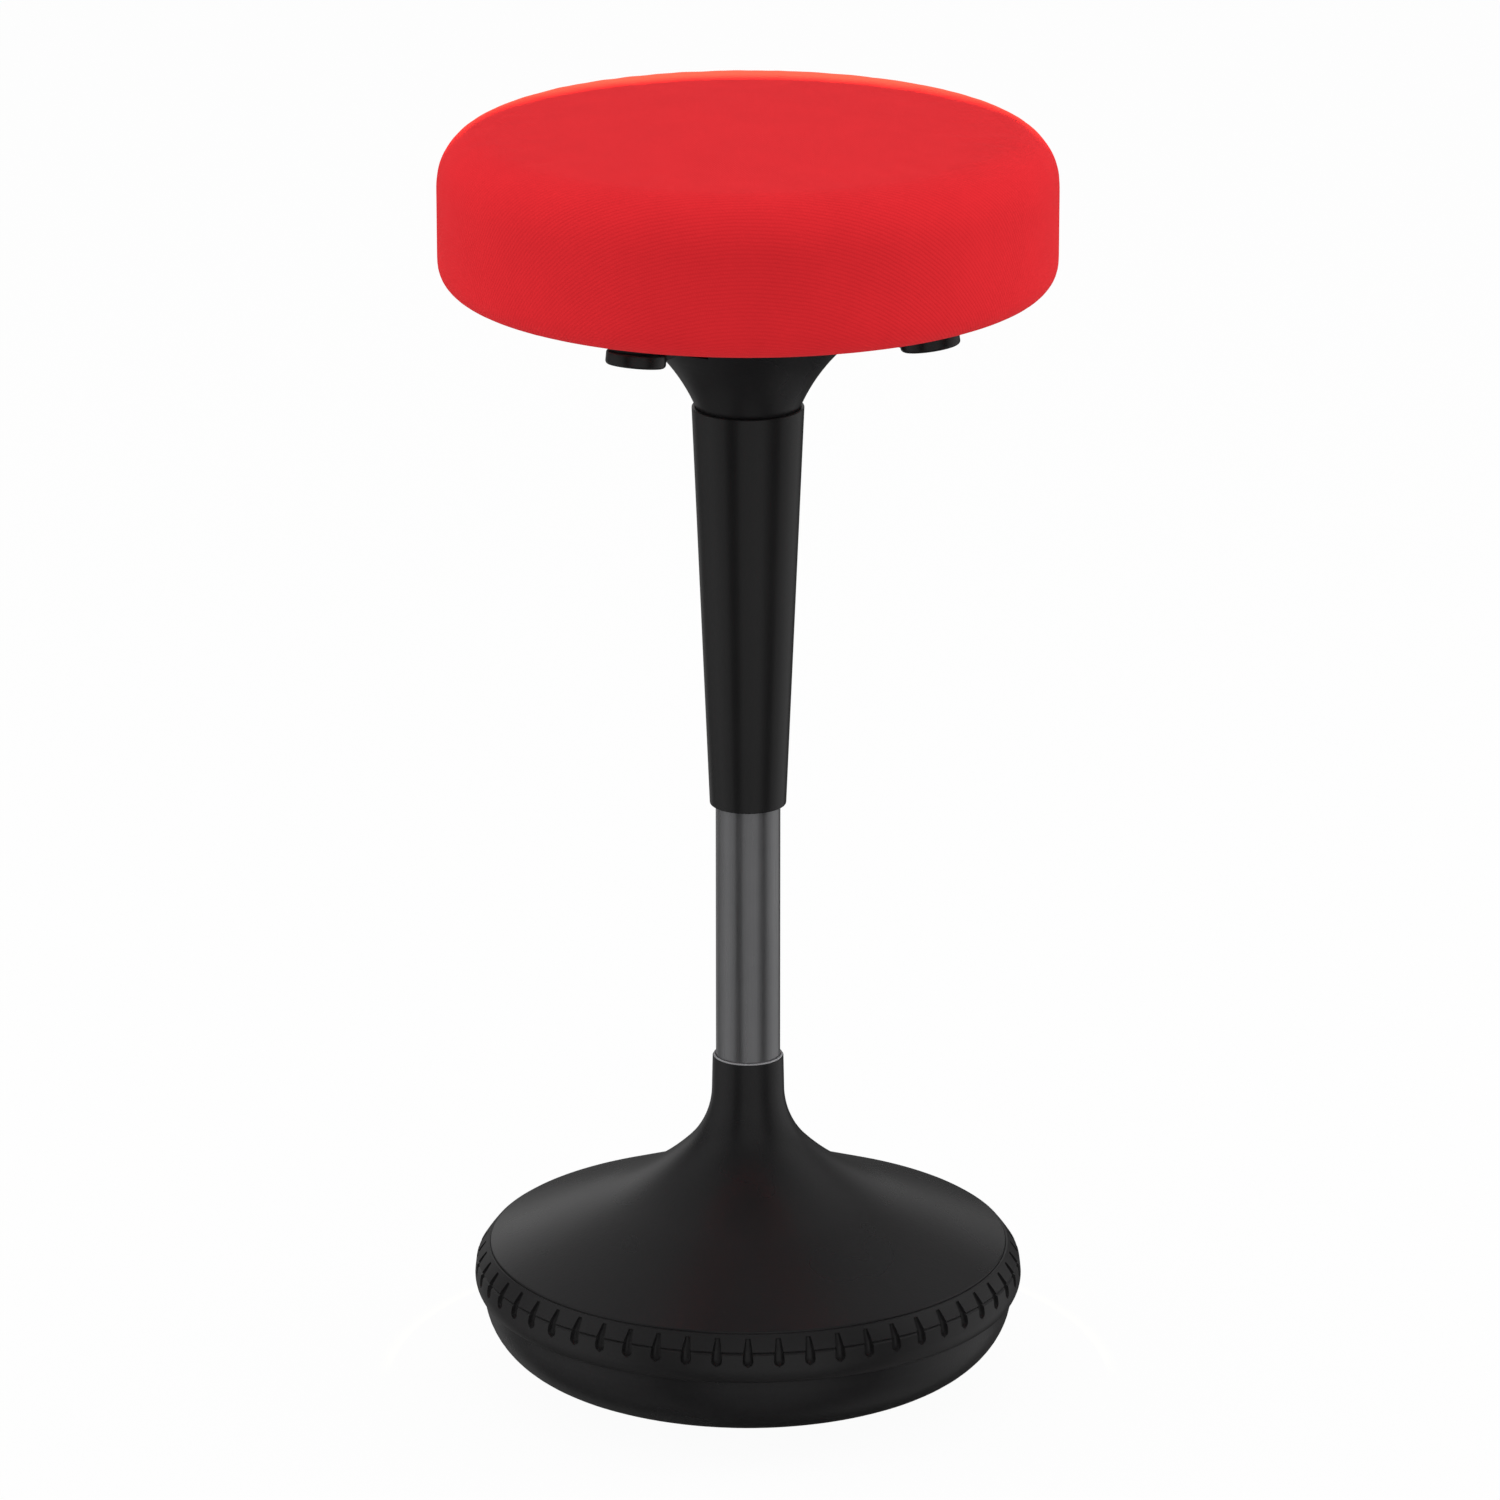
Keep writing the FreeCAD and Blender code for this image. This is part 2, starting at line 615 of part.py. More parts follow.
def gas_cylinder():
    """Sliding cylinder with its taper, inner tube, rod guide, seal, valve and button."""
    bore = "(cylinder_radius - cylinder_wall)"
    cap_low = "(cylinder_top - cylinder_cap)"
    button_bore = "(button_radius + button_bore_play)"
    turned("gas_cylinder", [
        (bore, "cylinder_bottom"),
        ("cylinder_radius", "cylinder_bottom"),
        ("cylinder_radius", "hub_bottom"),
        ("cylinder_top_radius", "taper_top"),
        ("cylinder_top_radius - cylinder_top_bevel", "cylinder_top"),
        (button_bore, "cylinder_top"),
        (button_bore, cap_low),
        ("valve_radius", cap_low),
        ("valve_radius", "hub_bottom"),
        (bore, "bore_step_bottom"),
    ])
    guide_top = "(cylinder_bottom + guide_height)"
    seal_low = f"({guide_top} - seal_height)"
    turned("rod_guide", [
        ("rod_radius + rod_fit", "cylinder_bottom"),
        (bore, "cylinder_bottom"),
        (bore, guide_top),
        ("seal_radius", guide_top),
        ("seal_radius", seal_low),
        ("rod_radius + rod_fit", seal_low),
    ])
    ring("rod_seal", "rod_radius + seal_fit", "seal_radius", seal_low, guide_top)
    valve_low = f"({cap_low} - valve_height)"
    ring("pressure_tube", "pressure_bore", "pressure_radius", guide_top, f"{valve_low} - pressure_tube_gap")
    turned("valve_body", [
        ("0", valve_low),
        ("valve_radius", valve_low),
        ("valve_radius", cap_low),
        (button_bore, cap_low),
        (button_bore, f"{cap_low} - valve_bore_depth"),
        ("0", f"{cap_low} - valve_bore_depth"),
    ])
    turned("valve_button", [
        ("0", "button_top - button_length"),
        ("button_radius", "button_top - button_length"),
        ("button_radius", "button_top - button_bevel"),
        ("button_tip_radius", "button_top"),
        ("0", "button_top"),
    ])


def lift_covers():
    """Tapered sleeve over the tube, the collar that carries it, and the funnel above."""
    taper = "((sleeve_top_radius - sleeve_bottom_radius) / (sleeve_top - sleeve_bottom))"
    turned("tapered_sleeve", [
        ("sleeve_bottom_radius - sleeve_wall", "sleeve_bottom"),
        ("sleeve_bottom_radius - sleeve_edge", "sleeve_bottom"),
        ("sleeve_bottom_radius", "sleeve_bottom + sleeve_edge"),
        ("sleeve_top_radius", "sleeve_top - sleeve_edge"),
        ("sleeve_top_radius - sleeve_edge", "sleeve_top"),
        ("sleeve_top_radius - sleeve_wall", "sleeve_top"),
    ])
    collar_high = "(collar_bottom + collar_thickness)"
    sleeve_bore = "(sleeve_bottom_radius - sleeve_wall)"
    collar_edge = f"({sleeve_bore} - collar_fit + {taper} * (collar_bottom - sleeve_bottom))"
    turned("sleeve_collar", [
        ("cylinder_radius", "collar_bottom"),
        (collar_edge, "collar_bottom"),
        (f"{collar_edge} + {taper} * collar_thickness", collar_high),
        ("cylinder_radius", collar_high),
    ])
    centre_x = "(funnel_foot_radius + funnel_bend_radius * cos(funnel_foot_angle))"
    centre_z = "(funnel_foot - funnel_bend_radius * sin(funnel_foot_angle))"
    cone_x = f"({centre_x} - funnel_bend_radius * cos(funnel_cone_angle))"
    cone_z = f"({centre_z} + funnel_bend_radius * sin(funnel_cone_angle))"
    rim_z = f"({cone_z} + (funnel_rim_radius - {cone_x}) / tan(funnel_cone_angle))"
    inner_bend = "(funnel_bend_radius + funnel_wall)"
    inner_cone_x = f"({centre_x} - {inner_bend} * cos(funnel_cone_angle))"
    inner_cone_z = f"({centre_z} + {inner_bend} * sin(funnel_cone_angle))"
    inner_rim = "(funnel_rim_radius - funnel_wall)"
    inner_rim_z = f"({inner_cone_z} + ({inner_rim} - {inner_cone_x}) / tan(funnel_cone_angle))"
    shelf_high = "(funnel_collar_bottom + funnel_collar_thickness)"
    plate_low = "(seat_underside + fabric_thickness - dust_cover_thickness - plate_thickness)"

    def inner_wall(height):
        """Radius of the funnel's curved inner wall at a height."""
        return f"({centre_x} - sqrt({inner_bend} ^ 2 - ({height} - {centre_z}) ^ 2))"

    funnel = turned("funnel_cover", [
        (inner_wall("funnel_foot"), "funnel_foot", inner_bend, 1),
        ("funnel_foot_radius", "funnel_foot"),
        (cone_x, cone_z, "funnel_bend_radius", -1),
        ("funnel_rim_radius", rim_z),
        ("funnel_rim_radius", plate_low),
        (inner_rim, plate_low),
        (inner_rim, inner_rim_z),
        (inner_cone_x, inner_cone_z),
        (inner_wall(shelf_high), shelf_high, inner_bend, 1),
        ("hub_radius", shelf_high),
        ("hub_radius", "funnel_collar_bottom"),
        (inner_wall("funnel_collar_bottom"), "funnel_collar_bottom"),
    ], "arm_angle")
    window_size = {"Length": "pan_window_width", "Width": "funnel_rim_radius",
                   "Height": "pan_window_top - funnel_window_low"}
    window = primitive(funnel, "SubtractiveBox", window_size,
                       ("-pan_window_width / 2", "-funnel_rim_radius - cut_past", "funnel_window_low"))
    repeat(funnel, [window], "arm_count")


def release_mechanism():
    """Hub, pan, fulcrum ring and seat plate, with the four-armed lever and its pads."""
    plate_high = "(seat_underside + fabric_thickness - dust_cover_thickness)"
    plate_low = f"({plate_high} - plate_thickness)"
    taper = "(cylinder_radius - cylinder_top_radius) / (taper_top - hub_bottom)"
    hub_top = "(pan_floor + pan_wall)"
    turned("taper_hub", [
        ("cylinder_radius", "hub_bottom"),
        ("hub_radius", "hub_bottom"),
        ("hub_radius", hub_top),
        (f"cylinder_radius - {taper} * ({hub_top} - hub_bottom)", hub_top),
    ])
    pan = turned("mechanism_pan", [
        ("hub_radius", "pan_floor"),
        ("pan_radius", "pan_floor"),
        ("pan_radius", plate_low),
        ("pan_radius - pan_wall", plate_low),
        ("pan_radius - pan_wall", hub_top),
        ("hub_radius", hub_top),
    ], "arm_angle")
    window_size = {"Length": "pan_window_width", "Width": "pan_window_depth",
                   "Height": f"pan_window_top - {hub_top}"}
    window = primitive(pan, "SubtractiveBox", window_size,
                       ("-pan_window_width / 2", "-pan_radius - cut_past", hub_top))
    repeat(pan, [window], "arm_count")
    spider_top = "(spider_bottom + spider_thickness)"
    nose = f"({spider_top} + arm_play)"
    turned("fulcrum_ring", [
        ("fulcrum_radius", nose),
        ("fulcrum_radius + fulcrum_half_width", f"{nose} + fulcrum_nose"),
        ("fulcrum_radius + fulcrum_half_width", plate_low),
        ("fulcrum_radius - fulcrum_half_width", plate_low),
        ("fulcrum_radius - fulcrum_half_width", f"{nose} + fulcrum_nose"),
    ])
    plate = new_body("seat_plate", "arm_angle")
    slab_size = {"Length": "plate_width", "Width": "plate_width", "Height": "plate_thickness"}
    slab = primitive(plate, "AdditiveBox", slab_size, ("-plate_width / 2", "-plate_width / 2", plate_low))
    corners = plate.newObject("PartDesign::Fillet", "seat_plate_corners")
    upright = [f"Edge{index + 1}" for index, edge in enumerate(slab.Shape.Edges)
               if abs(edge.tangentAt(edge.FirstParameter).z) > 0.9]
    corners.Base = (slab, upright)
    corners.setExpression("Radius", bound("plate_corner"))
    doc.recompute()
    bolt_x = "bolt_pitch_radius * cos(45)"
    hole_size = {"Radius": "bolt_radius + hole_play", "Height": "plate_thickness + 2 * cut_past"}
    hole = primitive(plate, "SubtractiveCylinder", hole_size, (bolt_x, bolt_x, f"{plate_low} - cut_past"))
    repeat(plate, [hole], "fastener_count")
    headed_screws("seat_bolts", "bolt_pitch_radius", "bolt_radius", f"{plate_low} + bolt_length", plate_low,
                  "bolt_head_radius", "bolt_head_height", head_down=True, turn=BETWEEN_ARMS)
    spider = ring("lever_spider", "0", "spider_disc_radius", "spider_bottom", spider_top, "arm_angle")
    arm_size = {"Length": "arm_width", "Width": "arm_reach - spider_disc_radius / 2",
                "Height": "spider_thickness"}
    arm = primitive(spider, "AdditiveBox", arm_size, ("-arm_width / 2", "-arm_reach", "spider_bottom"))
    repeat(spider, [arm], "arm_count")
    for step, corner in enumerate(("front_left", "front_right", "back_right", "back_left")):
        lever_pad(f"lever_pad_{corner}", f"arm_angle + {step} * 360 / arm_count")


def lever_pad(name, turn):
    """Round finger pad, tilted up towards its outer side, moulded over the end of an arm."""
    body = new_body(name, turn)
    low = "(pad_lowest + pad_radius * sin(pad_tilt))"
    disc_size = {"Radius": "pad_radius", "Height": "pad_thickness"}
    disc = primitive(body, "AdditiveCylinder", disc_size, ("0", "-pad_circle_radius", low), RIGHT,
                     -number("pad_tilt"))
    rounds = body.newObject("PartDesign::Fillet", name + "_rounds")
    rims = [f"Edge{index + 1}" for index, edge in enumerate(disc.Shape.Edges) if edge.isClosed()]
    rounds.Base = (disc, rims)
    rounds.setExpression("Radius", bound("pad_round"))
    doc.recompute()
    slot_size = {"Length": "arm_width", "Width": "arm_slot_length", "Height": "spider_thickness"}
    primitive(body, "SubtractiveBox", slot_size, ("-arm_width / 2", "-arm_reach", "spider_bottom"))


def seat():
    """Board, foam, cover with its hem, dust cover, staples and tee nuts."""
    board_low = "(seat_underside + fabric_thickness)"
    board_high = f"({board_low} + board_thickness)"
    board = ring("seat_board", "0", "board_radius", board_low, board_high, BETWEEN_ARMS)
    bored(board, "nut_barrel_radius", "bolt_pitch_radius", f"{board_low} - cut_past",
          f"{board_high} + cut_past")
    nuts = new_body("tee_nuts", BETWEEN_ARMS)
    barrel_size = {"Radius": "nut_barrel_radius", "Height": "board_thickness - nut_barrel_rise"}
    flange_size = {"Radius": "nut_flange_radius", "Height": "nut_flange_thickness"}
    thread_size = {"Radius": "bolt_radius", "Height": "board_thickness + nut_flange_thickness + cut_past"}
    barrel = primitive(nuts, "AdditiveCylinder", barrel_size,
                       ("bolt_pitch_radius", "0", f"{board_low} + nut_barrel_rise"))
    flange = primitive(nuts, "AdditiveCylinder", flange_size, ("bolt_pitch_radius", "0", board_high))
    thread = primitive(nuts, "SubtractiveCylinder", thread_size, ("bolt_pitch_radius", "0", board_low))
    repeat(nuts, [barrel, flange, thread], "fastener_count")
    skin = "fabric_thickness"
    side = f"(seat_radius - {skin})"
    foam_top = f"(seat_top - {skin})"
    top_round = f"(seat_top_round - {skin})"
    low_round = f"(seat_under_round - {skin})"
    shoulder = f"({side} - {top_round})"
    foot = f"({side} - {low_round})"
    crown_radius = f"(({shoulder} ^ 2 + seat_crown ^ 2) / (2 * seat_crown))"
    foam = turned("foam_cushion", [
        ("0", board_high),
        ("board_radius", board_high),
        ("board_radius", board_low),
        (foot, board_low),
        (side, f"{board_low} + {low_round}", low_round, 1),
        (side, f"{foam_top} - seat_crown - {top_round}"),
        (shoulder, f"{foam_top} - seat_crown", top_round, 1),
        ("0", foam_top, crown_radius, 1),
    ], BETWEEN_ARMS)
    pocket = primitive(foam, "SubtractiveCylinder", flange_size, ("bolt_pitch_radius", "0", board_high))
    repeat(foam, [pocket], "fastener_count")
    outer_shoulder = "(seat_radius - seat_top_round)"
    outer_foot = "(seat_radius - seat_under_round)"
    outer_crown = f"(({outer_shoulder} ^ 2 + seat_crown ^ 2) / (2 * seat_crown))"
    turned("fabric_cover", [
        ("hem_inner_radius", "seat_underside"),
        (outer_foot, "seat_underside"),
        ("seat_radius", "seat_underside + seat_under_round", "seat_under_round", 1),
        ("seat_radius", "seat_top - seat_crown - seat_top_round"),
        (outer_shoulder, "seat_top - seat_crown", "seat_top_round", 1),
        ("0", "seat_top", outer_crown, 1),
        ("0", foam_top),
        (shoulder, f"{foam_top} - seat_crown", crown_radius, -1),
        (side, f"{foam_top} - seat_crown - {top_round}", top_round, -1),
        (side, f"{board_low} + {low_round}"),
        (foot, board_low, low_round, -1),
        ("hem_inner_radius", board_low),
    ])
    dust_low = f"{board_low} - dust_cover_thickness"
    dust_cover = ring("dust_cover", "0", "hem_inner_radius", dust_low, board_low, BETWEEN_ARMS)
    bored(dust_cover, "bolt_radius + hole_play", "bolt_pitch_radius", f"{dust_low} - cut_past",
          f"{board_low} + cut_past")
    staples = new_body("hem_staples")
    staple_low = "seat_underside - staple_wire"
    crown_size = {"Length": "staple_wire", "Width": "staple_crown", "Height": "staple_wire"}
    leg_size = {"Length": "staple_wire", "Width": "staple_wire", "Height": "staple_leg"}
    wires = [primitive(staples, "AdditiveBox", crown_size,
                       ("staple_pitch_radius", "-staple_crown / 2", staple_low))]
    for place in ("-staple_crown / 2", "staple_crown / 2 - staple_wire"):
        wires.append(primitive(staples, "AdditiveBox", leg_size, ("staple_pitch_radius", place, staple_low)))
    repeat(staples, wires, "staple_count")


base_bowl()
base_weight()
bumper_ring()
base_dome()
standing_tube()
piston_and_rod()
gas_cylinder()
lift_covers()
release_mechanism()
seat()
doc.recompute()

for feature in doc.Objects:
    if "Invalid" in feature.State or "Error" in feature.State:
        raise RuntimeError(f"{feature.Name} failed: {feature.State}")
for body in SUB_PARTS:
    if body.Shape.isNull() or not body.Shape.isValid():
        raise RuntimeError(f"{body.Label} has no valid shape")

os.makedirs("parts", exist_ok=True)
for body in SUB_PARTS:
    body.Shape.exportStep(os.path.join("parts", f"{body.Label}.step"))
    print(f"{body.Label}: {len(body.Shape.Solids)} solids, {body.Shape.Volume / 1000:.2f} cm3")
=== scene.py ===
"""Looks of a wobble stool: an upholstered seat on a gas lift, standing on a weighted rocking base.

Sizes are in millimetres above the floor or from the stool's axis, and become metres when a mesh is made.
"""

import json
import logging
import math
from dataclasses import dataclass, field
from enum import Enum
from functools import cache

import bmesh
import bpy
import numpy as np
from mathutils import Matrix, Vector


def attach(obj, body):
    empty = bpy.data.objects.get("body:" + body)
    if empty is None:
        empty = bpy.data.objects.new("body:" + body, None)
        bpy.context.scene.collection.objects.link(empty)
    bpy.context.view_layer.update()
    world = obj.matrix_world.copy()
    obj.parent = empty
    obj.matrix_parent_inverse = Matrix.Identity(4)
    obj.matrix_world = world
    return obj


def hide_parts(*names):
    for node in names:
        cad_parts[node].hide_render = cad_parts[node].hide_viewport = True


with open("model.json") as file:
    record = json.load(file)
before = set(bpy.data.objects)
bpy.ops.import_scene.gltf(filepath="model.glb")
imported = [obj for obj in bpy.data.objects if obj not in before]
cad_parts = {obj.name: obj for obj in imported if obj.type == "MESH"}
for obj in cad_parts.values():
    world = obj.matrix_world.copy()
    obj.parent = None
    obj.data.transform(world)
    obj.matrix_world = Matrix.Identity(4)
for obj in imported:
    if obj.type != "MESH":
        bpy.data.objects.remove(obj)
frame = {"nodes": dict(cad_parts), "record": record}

MM = 0.001
FULL_TURN = 2 * math.pi
Colour = tuple[float, float, float]
Piece = bpy.types.Object
Point = tuple[float, float]
Socket = bpy.types.NodeSocket
Sockets = dict[str | int, object]
log = logging.getLogger("wobble_stool")


class Bend(Enum):
    """Which side of the way of travel an arc's centre lies on."""

    LEFT = 1
    RIGHT = -1


class Body(Enum):
    """The moving groups that pieces ride on."""

    BASE = "base"
    SEAT = "seat"
    LEVER = "lever"


# Meshes


@dataclass
class Outline:
    """An outline of radius and height in millimetres, drawn point by point."""

    points: list[Point] = field(default_factory=list)

    def line(self, radius: float, height: float) -> "Outline":
        """Go straight to a point.

        Args:
            radius: Distance from the axis.
            height: Height above the floor.

        Returns:
            The outline itself, so that steps can follow each other.
        """
        self.points.append((radius, height))
        return self

    def arc(self, radius: float, height: float, bend: float, side: Bend, steps: int = 8) -> "Outline":
        """Go along the short arc to a point.

        Args:
            radius: Distance of the arc's end from the axis.
            height: Height of the arc's end.
            bend: The arc's own radius.
            side: Side of the centre.
            steps: Number of straight steps that stand for the arc.

        Returns:
            The outline itself.
        """
        start = np.array(self.points[-1])
        end = np.array((radius, height))
        along = end - start
        length = float(np.hypot(*along))
        reach = math.sqrt(max(bend**2 - (length / 2) ** 2, 0.0))
        left = np.array((-along[1], along[0])) / length
        centre = (start + end) / 2 + left * side.value * reach
        first = math.atan2(*(start - centre)[::-1])
        turn = math.atan2(*(end - centre)[::-1]) - first
        turn = (turn + math.pi) % FULL_TURN - math.pi
        for step in range(1, steps + 1):
            angle = first + turn * step / steps
            self.points.append((centre[0] + bend * math.cos(angle), centre[1] + bend * math.sin(angle)))
        return self

    def lengths(self) -> np.ndarray:
        """Running length of the outline at each point, in millimetres."""
        steps = np.diff(np.array(self.points), axis=0)
        return np.concatenate(([0.0], np.cumsum(np.hypot(steps[:, 0], steps[:, 1]))))


def smooth(piece: Piece, sharp: float) -> None:
    """Shade a piece smooth, with its edges above an angle in degrees kept sharp."""
    piece.data.shade_smooth()
    piece.data.set_sharp_from_angle(angle=math.radians(sharp))


def new_piece(name: str, places: np.ndarray, faces: list[tuple[int, ...]], sharp: float = 32.0) -> Piece:
    """Make a mesh piece at the origin.

    Args:
        name: Name of the piece.
        places: Places of its vertices in metres.
        faces: Vertex numbers of its faces.
        sharp: Angle in degrees above which an edge stays sharp.

    Returns:
        The new object.
    """
    mesh = bpy.data.meshes.new(name)
    mesh.from_pydata(places.tolist(), [], faces)
    mesh.validate()
    piece = bpy.data.objects.new(name, mesh)
    bpy.context.scene.collection.objects.link(piece)
    smooth(piece, sharp)
    return piece


def turned(name: str, outline: Outline, segments: int = 128, closed: bool = True) -> Piece:
    """Turn an outline about the stool's axis.

    Args:
        name: Name of the piece.
        outline: Outline that runs counter-clockwise with radius to the right and height up.
        segments: Number of steps round the axis.
        closed: Whether its end joins its start.

    Returns:
        The turned piece.
    """
    rings, places = [], []
    for radius, height in outline.points:
        count = segments if radius > 0 else 1
        rings.append([len(places) + step for step in range(count)])
        for step in range(count):
            angle = FULL_TURN * step / segments
            places.append((radius * MM * math.cos(angle), radius * MM * math.sin(angle), height * MM))
    faces = []
    for low, high in zip(rings, rings[1:] + rings[:1] if closed else rings[1:]):
        for step in range(segments if len(low) + len(high) > 2 else 0):
            after = (step + 1) % segments
            corners = [low[step % len(low)], low[after % len(low)]]
            corners += [high[after % len(high)], high[step % len(high)]]
            faces.append(tuple(dict.fromkeys(corners)))
    return new_piece(name, np.array(places), faces)


def read(piece: Piece, what: str = "co") -> np.ndarray:
    """Places or normals of a piece's vertices, in rows.

    Args:
        piece: The piece.
        what: "co" for places or "normal" for normals.

    Returns:
        One row for each vertex.
    """
    values = np.empty(len(piece.data.vertices) * 3)
    piece.data.vertices.foreach_get(what, values)
    return values.reshape(-1, 3)


def move(piece: Piece, places: np.ndarray) -> None:
    """Put a piece's vertices at new places, in metres."""
    piece.data.vertices.foreach_set("co", places.ravel())
    piece.data.update()


def make_plain(piece: Piece) -> None:
    """Turn what a piece's modifiers make of it into its own mesh.

    Args:
        piece: The piece, which then has no modifier.
    """
    old, graph = piece.data, bpy.context.evaluated_depsgraph_get()
    piece.data = bpy.data.meshes.new_from_object(piece.evaluated_get(graph))
    piece.modifiers.clear()
    bpy.data.meshes.remove(old)
    piece.data.name = piece.name


# Nodes


class Nodes:
    """A node tree with short ways to add to it."""

    def __init__(self, tree: bpy.types.NodeTree) -> None:
        """Keep the tree."""
        self.tree = tree

    def fill(self, node: bpy.types.Node, sockets: Sockets) -> None:
        """Fill a node's inputs.

        Args:
            node: The node.
            sockets: Inputs by name or number, each with a value or a socket to join it to.
        """
        for key, value in sockets.items():
            entry = node.inputs[key]
            if isinstance(value, Socket):
                self.tree.links.new(value, entry)
            else:
                entry.default_value = (*value, 1.0) if entry.type == "RGBA" else value

    def add(self, kind: str, sockets: Sockets | None = None, **settings: object) -> bpy.types.Node:
        """Add a node.

        Args:
            kind: Blender's type of the node, without ShaderNode at its start.
            sockets: Inputs by name or number, as fill takes them.
            settings: Properties of the node itself.

        Returns:
            The new node.
        """
        node = self.tree.nodes.new(kind if kind.startswith("Geometry") else "ShaderNode" + kind)
        for key, value in settings.items():
            setattr(node, key, value)
        self.fill(node, sockets or {})
        return node

    def first(self, kind: str, sockets: Sockets | None = None, **settings: object) -> Socket:
        """Add a node, as add does, and give its first output."""
        return self.add(kind, sockets, **settings).outputs[0]

    def maths(self, operation: str, *values: object) -> Socket:
        """One step of arithmetic with numbers or sockets."""
        return self.first("Math", dict(enumerate(values)), operation=operation)

    def axes(self, vector: Socket) -> bpy.types.NodeOutputs:
        """A vector's three parts, under X, Y and Z."""
        return self.add("SeparateXYZ", {0: vector}).outputs

    def place(self) -> Socket:
        """Object coordinates, in metres."""
        return self.add("TexCoord").outputs["Object"]

    def noise(self, vector: Socket, scale: object, detail: float = 3.0, roughness: float = 0.55,
              distortion: float = 0.0) -> Socket:
        """A noise from 0 to 1.

        Args:
            vector: Place that it is read at.
            scale: Number of features in a metre.
            detail: Octaves.
            roughness: Share of each further octave.
            distortion: How far it is stirred.

        Returns:
            The noise's socket.
        """
        sockets = {"Vector": vector, "Scale": scale, "Detail": detail, "Roughness": roughness}
        return self.first("TexNoise", {**sockets, "Distortion": distortion})

    def fit(self, value: Socket, start: float, end: float, low: float = 0.0, high: float = 1.0,
            bend: str = "LINEAR") -> Socket:
        """Map one range to another, held at its ends.

        Args:
            value: Value to map.
            start: Value that gives low.
            end: Value that gives high.
            low: Result at the start and before it.
            high: Result at the end and past it.
            bend: Blender's name of the way between them.

        Returns:
            The mapped value.
        """
        sockets = {"Value": value, "From Min": start, "From Max": end, "To Min": low, "To Max": high}
        return self.first("MapRange", sockets, interpolation_type=bend)

    def spread(self, value: Socket, low: float = 0.0, high: float = 1.0) -> Socket:
        """Stretch the middle of a noise to a range."""
        return self.fit(value, 0.22, 0.78, low, high, "SMOOTHSTEP")

    def blend(self, mask: Socket, below: object, top: object) -> Socket:
        """Go from one colour to another by a mask.

        Args:
            mask: Blend from 0 to 1.
            below: Colour or socket at 0.
            top: Colour or socket at 1.

        Returns:
            The blended colour.
        """
        return self.add("Mix", {0: mask, 6: below, 7: top}, data_type="RGBA").outputs[2]

    def bump(self, height: Socket, depth: float) -> Socket:
        """The normal of a surface raised by a height, where 1 means a depth in metres."""
        return self.first("Bump", {"Height": height, "Distance": depth, "Strength": 1.0})

    def effect(self, kind: type["Effect"], vector: Socket, **values: float) -> bpy.types.NodeOutputs:
        """Place a shared effect.

        Args:
            kind: Class of the effect.
            vector: Coordinates that it reads.
            values: The effect's own inputs by name.

        Returns:
            The effect's outputs.
        """
        node = self.add("Group", node_tree=effect_tree(kind))
        self.fill(node, {"Vector": vector, **values})
        return node.outputs


class GeometryRule(Nodes):
    """A Geometry Nodes tree with named inputs, baked to a plain mesh."""

    def __init__(self, name: str) -> None:
        """Start an empty tree.

        Args:
            name: Name of the tree.
        """
        super().__init__(bpy.data.node_groups.new(name, "GeometryNodeTree"))
        self.tree.is_modifier = True
        self.tree.interface.new_socket("Geometry", in_out="OUTPUT", socket_type="NodeSocketGeometry")
        self.values: dict[str, object] = {}
        self.given = self.tree.nodes.new("NodeGroupInput").outputs
        self.exit = self.tree.nodes.new("NodeGroupOutput")

    def size(self, name: str, value: object, kind: str = "Float") -> Socket:
        """Add a named input with its value.

        Args:
            name: Name of the input.
            value: Value that the piece is baked with.
            kind: Type of its socket.

        Returns:
            The socket that carries it inside the tree.
        """
        socket = self.tree.interface.new_socket(name, in_out="INPUT", socket_type="NodeSocket" + kind)
        self.values[socket.identifier] = value
        return self.given[name]

    def round_copies(self, shape: Socket, copies: int) -> Socket:
        """Repeat a shape round the stool's axis.

        Args:
            shape: Geometry to repeat.
            copies: Number of copies in the full turn.

        Returns:
            The instances.
        """
        count = self.size("Count", copies, "Int")
        share = self.maths("DIVIDE", self.first("GeometryNodeInputIndex"), count)
        turn = self.first("CombineXYZ", {"Z": self.maths("MULTIPLY", share, FULL_TURN)})
        points = self.first("GeometryNodePoints", {"Count": count})
        sockets = {"Points": points, "Instance": shape, "Rotation": turn}
        return self.first("GeometryNodeInstanceOnPoints", sockets)

    def bake(self, name: str, shape: Socket, slot: str, sharp: float = 32.0) -> Piece:
        """Finish the tree and turn what it makes into a plain piece.

        Args:
            name: Name of the piece.
            shape: Instances that the tree ends with.
            slot: Material slot of the piece.
            sharp: Angle in degrees above which an edge stays sharp.

        Returns:
            The baked piece, with no modifier on it.
        """
        finish = self.size("Finish", material_of(slot), "Material")
        real = self.first("GeometryNodeRealizeInstances", {"Geometry": shape})
        merged = self.first("GeometryNodeMergeByDistance", {"Geometry": real, "Distance": 2e-6})
        dressed = self.first("GeometryNodeSetMaterial", {"Geometry": merged, "Material": finish})
        self.tree.links.new(dressed, self.exit.inputs[0])
        piece = new_piece(name, np.empty((0, 3)), [])
        modifier = piece.modifiers.new("rule", "NODES")
        modifier.node_group = self.tree
        for key, value in self.values.items():
            modifier[key] = value
        make_plain(piece)
        smooth(piece, sharp)
        return piece


# Effects


